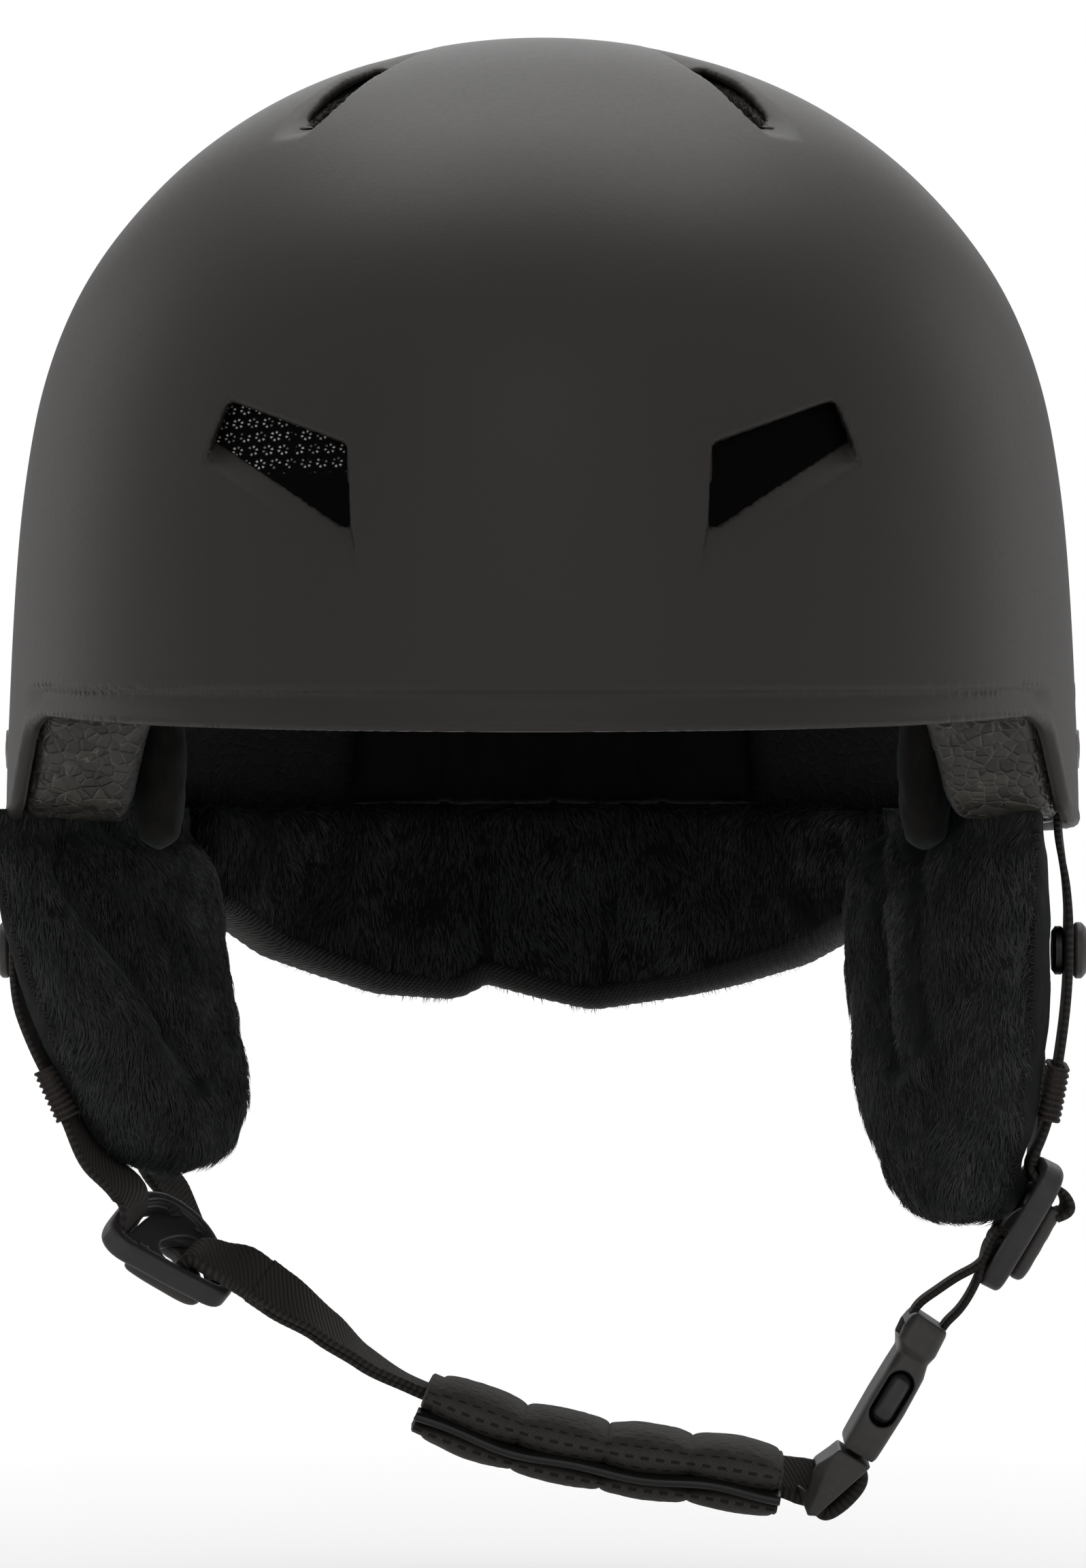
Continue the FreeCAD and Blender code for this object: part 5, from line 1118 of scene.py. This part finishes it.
for side in ("right", "left"):
    o, ux, uy, uz, m = DIV[side]
    OL, SU, SL = outline(OUTLINE, m), outline(SLOT_UP, m), outline(SLOT_LOW, m)
    LV, LH = outline(LEVER, m), outline(LEVER_HOLE, m)

    def div_f(x, y, z):
        out, su, sl = poly_sdf(x, y, OL), poly_sdf(x, y, SU) + 1.5, poly_sdf(x, y, SL) + 0.7
        plate = slab(rmax(rmax(out, -su, 0.6), -sl, 0.6), z + 2.3, 2.3, 1.0)
        f = rmax(plate, -np.maximum(out + 2.6, -(z + 1.15)), 0.5)
        seat = slab(rmax(rmax(out + 3.2, -su, 0.6), -sl, 0.6), z + 3.2, 1.3, 0.3)
        f = rmin(f, seat, 0.3)
        hole = np.hypot(x - m * 1.2, y - 23.6) - 0.75
        f = rmax(f, -np.maximum(hole, -(z + 3.0)), 0.25)
        across = np.abs(np.abs(m * x + 1.1) - 5.1) - 0.8
        lug = np.minimum(np.hypot(y - 24.6, z + 6.55) - 1.3, np.maximum(np.abs(y - 24.6) - 1.3, np.abs(z + 5.0) - 1.6))
        return rmin(f, rmax(lug, across, 0.3), 0.3)
    ob = sdf_piece("divider_frame_" + side, div_f, (-16.5, -4.5, -8.6), (16.5, 30.5, 1.2), 0.42, (o, ux, uy, uz))
    dress(ob, PLASTIC, "root", "moulded", "strap_divider_" + side)

    def lev_f(x, y, z):
        d2 = rmax(rmax(poly_sdf(x, y, LV), -poly_sdf(x, y, LH), 0.6), -(m * x + 6.2), 1.2)
        f = slab(d2 + 0.3, z + 6.4, 1.5, 1.2)
        bead = rmax(np.hypot(y - 24.6, z + 6.55) - 1.25, np.abs(m * x + 1.1) - 4.0, 0.3)
        f = rmin(f, bead, 0.6)
        grip = 0.22 * np.cos((x * m - y) * 2.6) * smoothstep(-z, 7.4, 8.2) * smoothstep(-poly_sdf(x, y, LV), 0.8, 1.8)
        return f - grip * 0.5
    ob = sdf_piece("lock_plate_" + side, lev_f, (-13, 0, -9.0), (13, 27, -4.2), 0.42, (o, ux, uy, uz))
    dress(ob, PLASTIC_DARK, "lever_" + side, "moulded", "divider_lever_" + side)

# ------------------------------------------------------------------ chin strap
AY, AZ = -17.0, -216.2
o, ux, uy, uz, m = DIV["right"]
c0 = o + ux * 3.4 + uy * 12.6
line = [(c0 - uz * 3.4, uy), (c0 + uz * 0.8 + ux * 0.8, uy), (c0 + uz * 2.0 + ux * 4.0, uy * .7 + np.array([.30, .85, .42]) * .3),
        (np.array([-60.4, AY, -217.6]), (.30, .85, .42)), (np.array([-56.6, AY, -220.2]), (.28, .87, .40)), (np.array([-53.6, AY, -222.35]), (.27, .88, .38))]
ob = band("chin_webbing_root", line, 15.2, 2.6, n=70, wiggle=0.05, ws=[11.5, 12.0, 13.6, 15.0, 15.2, 15.0])
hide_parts("lower_loop_right", "chin_webbing_end")
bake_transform(ob)
CHIN_LINE = [((-57.0, AY, -219.9), (.28, .87, .40)), ((-53.2, AY, -222.6), (.27, .88, .38)), ((-43.6, AY, -229.4), (.15, .96, .22)),
             ((-36.0, AY, -235.4), (.06, .99, .08)), ((-26.5, AY, -240.8), (0, 1, 0)), ((-20.5, AY, -243.4), (0, 1, 0))]
plies = []
for s, off in ((0, 0.66), (1, -0.66)):
    pts = []
    for i, (p, w) in enumerate(CHIN_LINE):
        a, b = np.array(CHIN_LINE[max(i - 1, 0)][0], float), np.array(CHIN_LINE[min(i + 1, len(CHIN_LINE) - 1)][0], float)
        nrm = np.cross(unit(b - a), unit(w))
        pts.append((np.array(p, float) + nrm * off, w))
    plies.append(band("ply", pts, 15.3 - s * 0.5, 1.28, n=110, wiggle=0.10, seed=20 + s))
ob = joined("chin_webbing_plies", plies)
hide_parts("chin_webbing_free")
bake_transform(ob)
core = [((-20.0, AY, -243.6), (0, 1, 0)), ((-14.0, AY, -246.2), (0, 1, 0)), ((0.0, AY, -250.6), (0, 1, 0)), ((17.6, AY, -254.4), (0, 1, 0)),
        ((36.0, AY, -256.8), (0, 1, 0)), ((47.5, AY, -258.9), (0, .93, .37)), ((53.5, AY, -260.4), (0, .88, .47)), ((57.2, AY, -261.2), (0, .88, .47))]
ob = band("chin_webbing_run", core, 15.5, 2.5, n=90, wiggle=0.03)
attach(ob, "chin_strap")
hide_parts("chin_webbing_core")

# chin pad: a fold-over sleeve with four puffed cells, its bound edge, and the lower layer
PLINE = np.array([(-24.0, -243.6), (-20.5, -245.0), (-8.0, -249.6), (8.0, -253.6), (24.0, -256.2), (38.0, -258.0), (45.5, -259.4), (48.4, -259.9)])


def sleeve(name, off, hh, hw, x0, x1, depth, mat, dash=True, seed=0):
    n, m = 260, 110
    c, _ = cubic(PLINE, n)
    s = np.concatenate([[0], np.cumsum(np.linalg.norm(np.diff(c, axis=0), axis=1))])
    fr = (c[:, 0] - x0) / (x1 - x0)
    cell = np.clip(fr, 0, 1) * 4
    bulge = np.clip(np.sin(np.pi * (cell % 1.0)), 0, 1) ** 0.42
    inside = (fr > 0) & (fr < 1)
    bulge = np.where(inside, bulge, 0)
    tanv = np.gradient(c, axis=0)
    tanv /= np.linalg.norm(tanv, axis=1, keepdims=True)
    up = np.stack([-tanv[:, 1], 0 * s, tanv[:, 0]], 1)
    a = np.linspace(0, 2 * np.pi, m, endpoint=False)
    sx, sy = section(1, 1, 2.5, a)
    endk = np.sqrt(np.clip(1 - np.clip((np.abs(np.linspace(-1, 1, n)) - 0.985) / 0.015, 0, 1) ** 2, 0.15, 1))
    H = hh * (1 - depth + depth * bulge) * endk
    Wd = hw * (0.94 + 0.06 * bulge) * endk
    base = np.stack([c[:, 0], np.full(n, AY), c[:, 1]], 1) + up * off
    P = base[:, None] + (H[:, None] * sx[None])[:, :, None] * up[:, None] + (Wd[:, None] * sy[None])[:, :, None] * np.array([0, 1, 0])
    N = normals(P, True)
    q = P.reshape(-1, 3)
    P = P + N * (0.16 * vnoise(q, 4, 90 + seed) + 0.08 * vnoise(q, 1.7, 91 + seed)).reshape(n, m)[:, :, None]
    per = np.concatenate([[0], np.cumsum(np.linalg.norm(np.diff(P[n // 2], axis=0), axis=1))])
    return grid_piece(name, P, s, np.concatenate([per, [per[-1] + 1.0]]))


ob = sleeve("chin_sleeve_upper", 1.9, 5.0, 18.2, -21.5, 47.2, 0.36, CHIN)
dress(ob, CHIN, "chin_strap", "chin_fabric", "chin_pad")
ob = sleeve("chin_sleeve_lower", -4.6, 2.9, 17.0, -21.5, 47.2, 0.42, CHIN, seed=4)
dress(ob, CHIN, "chin_strap", "chin_fabric")
c, _ = cubic(PLINE, 160)
tanv = np.gradient(c, axis=0)
tanv /= np.linalg.norm(tanv, axis=1, keepdims=True)
up = np.stack([-tanv[:, 1], np.zeros(160), tanv[:, 0]], 1)
base = np.stack([c[:, 0], np.full(160, AY - 13.2), c[:, 1]], 1) + up * (-2.1 + 0.35 * np.sin(np.arange(160) / 9.0)[:, None])
a = np.linspace(0, 2 * np.pi, 28, endpoint=False)
sx, sy = section(1.25, 6.2, 3.0, a)
P = base[:, None] + sx[None, :, None] * up[:, None] + sy[None, :, None] * np.array([0, 1, 0])
ob = grid_piece("chin_sleeve_binding", P, np.linspace(0, 76, 160), np.linspace(0, 30, 29))
dress(ob, STRIP, "chin_strap", "chin_fabric")

# ------------------------------------------------------------------ buckle
BX, BY, BZ = np.array((.857, 0, -.515)), np.array((0, 1, 0)), np.array((.515, 0, .857))
BO = np.array((63.3, AY, -254.3))
BPL = (BO, BX, BY, BZ)


def bp(x, y, z):
    return BO + BX * x + BY * y + BZ * z


SIDE = [(-3.7, 0), (3.7, 0), (3.95, 12), (3.6, 20.2), (2.9, 23.0), (3.3, 25.4), (3.0, 31.2), (-4.9, 31.8), (-5.5, 27.5), (-5.2, 24.9), (-3.9, 22.6), (-4.0, 12)]
PLAN = [(-11.6, 0), (11.6, 0), (12.3, 5), (12.2, 19), (11.2, 22.6), (12.7, 24.4), (12.2, 26.2), (10.8, 31.6), (-10.8, 31.6), (-12.2, 26.2), (-12.7, 24.4), (-11.2, 22.6), (-12.2, 19), (-12.3, 5)]


def socket_f(x, y, z):
    f = rmax(poly_sdf(x, z, SIDE), poly_sdf(y, z, PLAN), 2.6)
    cav = np.maximum(np.maximum(np.abs(x) - 2.35, np.abs(y) - 10.7), z - 22.0)
    win = np.sqrt(x ** 2 + np.maximum(np.abs(z - 13.7) - 3.4, 0) ** 2) - 2.75
    win = np.maximum(win, 7.5 - np.abs(y))
    dish = np.sqrt(x ** 2 + np.maximum(np.abs(z - 13.9) - 4.0, 0) ** 2) - 3.35 + (12.6 - np.abs(y)) * 1.5
    slot = np.maximum(np.maximum(np.abs(z - 26.4) - 1.5, np.abs(y) - 8.3), -100)
    f = rmax(f, -cav, 0.4)
    f = rmax(f, -win, 0.5)
    f = rmax(f, -dish, 0.5)
    return rmax(f, -slot, 0.5)


ob = sdf_piece("buckle_body", socket_f, (-6, -14, -1.5), (6, 14, 32.5), 0.40, BPL)
dress(ob, PLASTIC_DARK, "socket_side", "moulded", "buckle_socket")
PLUGS = [(-3.6, -0.35), (-4.4, -2.3), (-8.3, -10.4), (-2.2, -15.2), (-0.6, -14.4), (3.3, -1.6), (3.6, -0.35)]


def plug_f(x, y, z):
    a = poly_sdf(x, z, PLUGS)
    ridge = x + 4.2 + z * (2.0 / 14.8)
    facet = np.abs(y) - 11.2 + 0.15 * np.maximum(ridge, 0) + 0.62 * np.maximum(-ridge, 0) - 0.10 * z
    f = rmax(a, facet * 0.84, 0.8)
    slot = np.maximum(np.abs(z + 8.6) - 2.6, np.abs(y) - 8.4)
    f = rmax(f, -slot, 0.6)
    tongue = slab(np.maximum(np.abs(x) - 1.6, np.abs(z - 8.0) - 8.7), y, 0.8, 0.3)
    return rmin(f, tongue, 0.4)


ob = sdf_piece("buckle_wedge", plug_f, (-9, -12, -18.5), (5, 12, 18), 0.40, BPL)
dress(ob, PLASTIC_DARK, "chin_strap", "moulded", "buckle_plug")
PRONG = [(4.0, 0.3), (6.2, 0.3), (6.4, 7.4), (9.6, 8.2), (12.2, 9.4), (12.9, 11.5), (12.9, 15.5), (12.1, 18.0), (9.8, 19.3), (6.4, 20.6),
         (4.6, 20.2), (3.7, 18.6), (4.2, 14.0), (4.0, 8.0)]
for name, sg in (("front", -1), ("rear", 1)):
    PR = [(sg * a, b) for a, b in PRONG]

    def prong_f(x, y, z, PR=PR, sg=sg):
        f = slab(poly_sdf(y, z, PR) + 0.07 * x ** 2, x, 2.2, 1.3)
        pill = np.sqrt(x ** 2 + np.maximum(np.abs(z - 13.7) - 3.4, 0) ** 2) - 2.25
        pill = pill + np.maximum(sg * y - 10.6, 0) * 0.32
        return rmax(f, np.where(sg * y > 8.6, pill, -9.0), 0.5)
    ob = sdf_piece("buckle_button_" + name, prong_f, (-3.4, min(sg * 2, sg * 14.4), -1), (3.4, max(sg * 2, sg * 14.4), 22), 0.36, BPL)
    dress(ob, PLASTIC, "prong_" + name, "moulded", "buckle_prong_" + name)

line = [(bp(1.6, 0, -1.9), BY), (bp(3.3, 0, -3.4), BY), (bp(3.5, 0, -7.4), BY), (bp(2.4, 0, -11.0), BY), (bp(0.4, 0, -13.4), BY), (bp(-1.2, 0, -12.6), BY)]
ob = band("buckle_loop", line, 13.6, 2.9, n=70, mat=WEB_THIN, wiggle=0)
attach(ob, "chin_strap")
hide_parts("plug_webbing_loop")
o, ux, uy, uz, m = DIV["left"]
c0 = o + ux * -3.4 + uy * 12.0
line = [(c0 - uz * 3.4, uy), (c0 + uz * 0.5 - ux * 0.4, uy), (np.array([89.4, AY, -214.9]), BY), (np.array([84.6, AY, -218.4]), BY),
        (np.array([79.2, AY, -221.9]), BY), (bp(-4.5, 0, 32.2), BY), (bp(-4.4, 0, 29.2), BY), (bp(-3.2, 0, 27.0), BY)]
ob = band("strand_inner", line, 9.6, 1.35, n=120, mat=WEB_THIN, wiggle=0.06)
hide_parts("lower_loop_left", "socket_strand_inner")
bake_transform(ob)
line = [(c0 - uz * 3.0 - ux * 1.6, uy), (c0 + uz * 0.3 - ux * 1.9, uy), (np.array([88.6, AY, -217.2]), BY), (np.array([86.9, AY, -221.4]), BY),
        (np.array([83.6, AY, -226.2]), BY), (bp(2.3, 0, 32.0), BY), (bp(1.9, 0, 29.2), BY), (bp(0.6, 0, 27.0), BY)]
ob = band("strand_outer", line, 9.6, 1.35, n=90, mat=WEB_THIN, wiggle=0.06, seed=3)
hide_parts("socket_strand_outer")
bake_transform(ob)

# ------------------------------------------------------------------ goggle-strap retainer
AXY, AXZ = 144.4, -62.0


def base_f(x, y, z):
    b = np.maximum(np.maximum(np.abs(x) - 14, np.abs(z + 59.5) - 6.5), np.maximum(134 - y, y - 147.4))
    f = rmax(b, -(dome(x, y, z) - 0.25), 0.8)
    gap = np.maximum(np.abs(x) - 9.5, 140.6 - y)
    f = rmax(f, -gap, 0.7)
    lug = np.sqrt((y - AXY) ** 2 + (z - AXZ) ** 2) - 3.1
    f = rmax(f, np.where((y > 142.2) & (np.abs(x) > 9.4), lug, -9.0), 0.6)
    return rmax(f, -(np.sqrt((y - AXY) ** 2 + (z - AXZ) ** 2) - 1.28), 0.3)


ob = sdf_piece("retainer_base", base_f, (-15.5, 133, -68), (15.5, 149, -51), 0.5)
dress(ob, PLASTIC_DARK, "root", "moulded", "goggle_retainer_base")
kr, tk, ln_ = 3.2, 2.2, 44.0
FLAP = [(-kr * .7, kr * .7), (0, kr), (kr * .7, kr * .7), (kr, 0), (3.6, -4), (4.2, -10), (4.2, -ln_ + 4), (3.4, -ln_), (3.4 - tk, -ln_ + .4),
        (4.2 - tk, -ln_ + 5), (4.2 - tk, -10), (1.6, -5.0), (-.6, -kr), (-kr * .7, -kr * .7), (-kr, 0)]


def flap_f(x, y, z):
    w = 9.0 - 1.2 * smoothstep(-z, 40, 44)
    f = rmax(poly_sdf(y, z, FLAP), np.abs(x) - w, 1.0)
    ribs = 0.30 * np.cos(z * 2.9) * smoothstep(-z, 27, 28.5) * (1 - smoothstep(-z, 30, 33)) * smoothstep(y, 3.4, 4.2)
    f = rmax(f, -(np.sqrt(y ** 2 + z ** 2) - 1.3), 0.3)
    return f - ribs


ob = sdf_piece("retainer_flap", flap_f, (-10.5, -4.5, -46), (10.5, 6, 4.5), 0.5, (np.array([0, AXY, AXZ]), (1, 0, 0), (0, 1, 0), (0, 0, 1)))
dress(ob, BLACK, "goggle_retainer", "moulded", "goggle_retainer_strap")
ob = lathe("retainer_stud", [(0, -9.5), (1.45, -9.5), (1.45, 0), (4.6, 0), (4.6, .8), (1.9, 1.4), (1.9, 2.6), (2.4, 5.5), (1.5, 6.5), (0, 6.5)], (0, 139.6, -100), (0, 1, 0))
dress(ob, PLASTIC_DARK, "root", "moulded", "goggle_retainer_stud")
ob = lathe("retainer_cap", [(0, .05), (5.2, .05), (5.6, .6), (5.6, 1.4), (4.4, 2.3), (3.0, 2.6), (2.8, 2.3), (0, 2.25)], (0, AXY + 4.2, -100), (0, 1, 0))
dress(ob, PLASTIC, "goggle_retainer", "moulded", "goggle_retainer_cap")

# ------------------------------------------------------------------ studio
floor_m = Mat("floor_pale")
floor_m.set(color=floor_m.mix(floor_m.noise(2.0, 2), (0.90, 0.90, 0.90), (0.93, 0.93, 0.93)), rough=0.85, spec=0.1)
fx, fy, fz = floor_m.xyz()
dist = floor_m.math("SQRT", floor_m.math("ADD", floor_m.math("MULTIPLY", fx, fx), floor_m.math("MULTIPLY", fy, fy)))
fade = floor_m.math("ADD", 0.45, floor_m.math("DIVIDE", dist, 0.7), clamp=True)
ray = floor_m.t.nodes.new("ShaderNodeLightPath").outputs["Is Camera Ray"]
glow = floor_m.t.nodes.new("ShaderNodeEmission")
glow.inputs[0].default_value = (1, 1, 1, 1)
both_ = floor_m.t.nodes.new("ShaderNodeMixShader")
floor_m.put(both_.inputs[0], floor_m.math("MULTIPLY", fade, ray))
floor_m.t.links.new(floor_m.b.outputs[0], both_.inputs[1])
floor_m.t.links.new(glow.outputs[0], both_.inputs[2])
floor_m.t.links.new(both_.outputs[0], [n for n in floor_m.t.nodes if n.type == "OUTPUT_MATERIAL"][0].inputs[0])
bpy.ops.mesh.primitive_plane_add(size=60, location=(0, 0, -0.292))
floor = bpy.context.object
floor.name = "floor"
floor.data.materials.append(floor_m.mat)

world = bpy.data.worlds.new("studio")
bpy.context.scene.world = world
world.use_nodes = True
wt = world.node_tree
wt.nodes.clear()
wo = wt.nodes.new("ShaderNodeOutputWorld")
ba, bb = wt.nodes.new("ShaderNodeBackground"), wt.nodes.new("ShaderNodeBackground")
mixs, lp = wt.nodes.new("ShaderNodeMixShader"), wt.nodes.new("ShaderNodeLightPath")
ba.inputs[0].default_value = (1, 1, 1, 1)
ba.inputs[1].default_value = 0.40
bb.inputs[0].default_value = (1, 1, 1, 1)
bb.inputs[1].default_value = 1.0
wt.links.new(lp.outputs["Is Camera Ray"], mixs.inputs[0])
wt.links.new(ba.outputs[0], mixs.inputs[1])
wt.links.new(bb.outputs[0], mixs.inputs[2])
wt.links.new(mixs.outputs[0], wo.inputs[0])


def area(name, loc, target, size, power, size_y=None):
    li = bpy.data.lights.new(name, "AREA")
    li.energy = power
    li.size = size
    if size_y:
        li.shape = "RECTANGLE"
        li.size_y = size_y
    ob = bpy.data.objects.new(name, li)
    ob.location = loc
    ob.rotation_euler = (Vector(target) - Vector(loc)).to_track_quat("-Z", "Y").to_euler()
    bpy.context.scene.collection.objects.link(ob)


area("key_top", (0, 0.48, 1.20), (0, 0, 0), 1.3, 8.5, 0.9)
area("front_soft", (0.0, -1.7, 0.75), (0, 0, -0.1), 1.2, 1.9, 0.8)
area("side_left", (-1.05, 0.85, 0.05), (0, 0, -0.1), 0.5, 1.1, 1.1)
area("side_right", (1.05, 0.85, 0.05), (0, 0, -0.1), 0.5, 1.1, 1.1)
area("back_soft", (0.0, 1.6, 0.7), (0, 0, -0.1), 1.2, 4, 0.9)

cam_d = bpy.data.cameras.new("camera")
cam_d.sensor_fit = "AUTO"
cam_d.sensor_width = 36
cam_d.lens = 36 * 7.19 * 1400 / 2305
cam = bpy.data.objects.new("camera", cam_d)
az, el, D = math.radians(1.2), 0.0, 1.4
target = Vector((0.0, 0, -0.1195))
back = Vector((math.sin(az) * math.cos(el), -math.cos(az) * math.cos(el), math.sin(el)))
cam.location = target + back * D
cam.rotation_euler = (-back).to_track_quat("-Z", "Y").to_euler()
cam_d.clip_start, cam_d.clip_end = 0.01, 60
bpy.context.scene.collection.objects.link(cam)
bpy.context.scene.camera = cam
bpy.context.scene.view_settings.view_transform = "Standard"
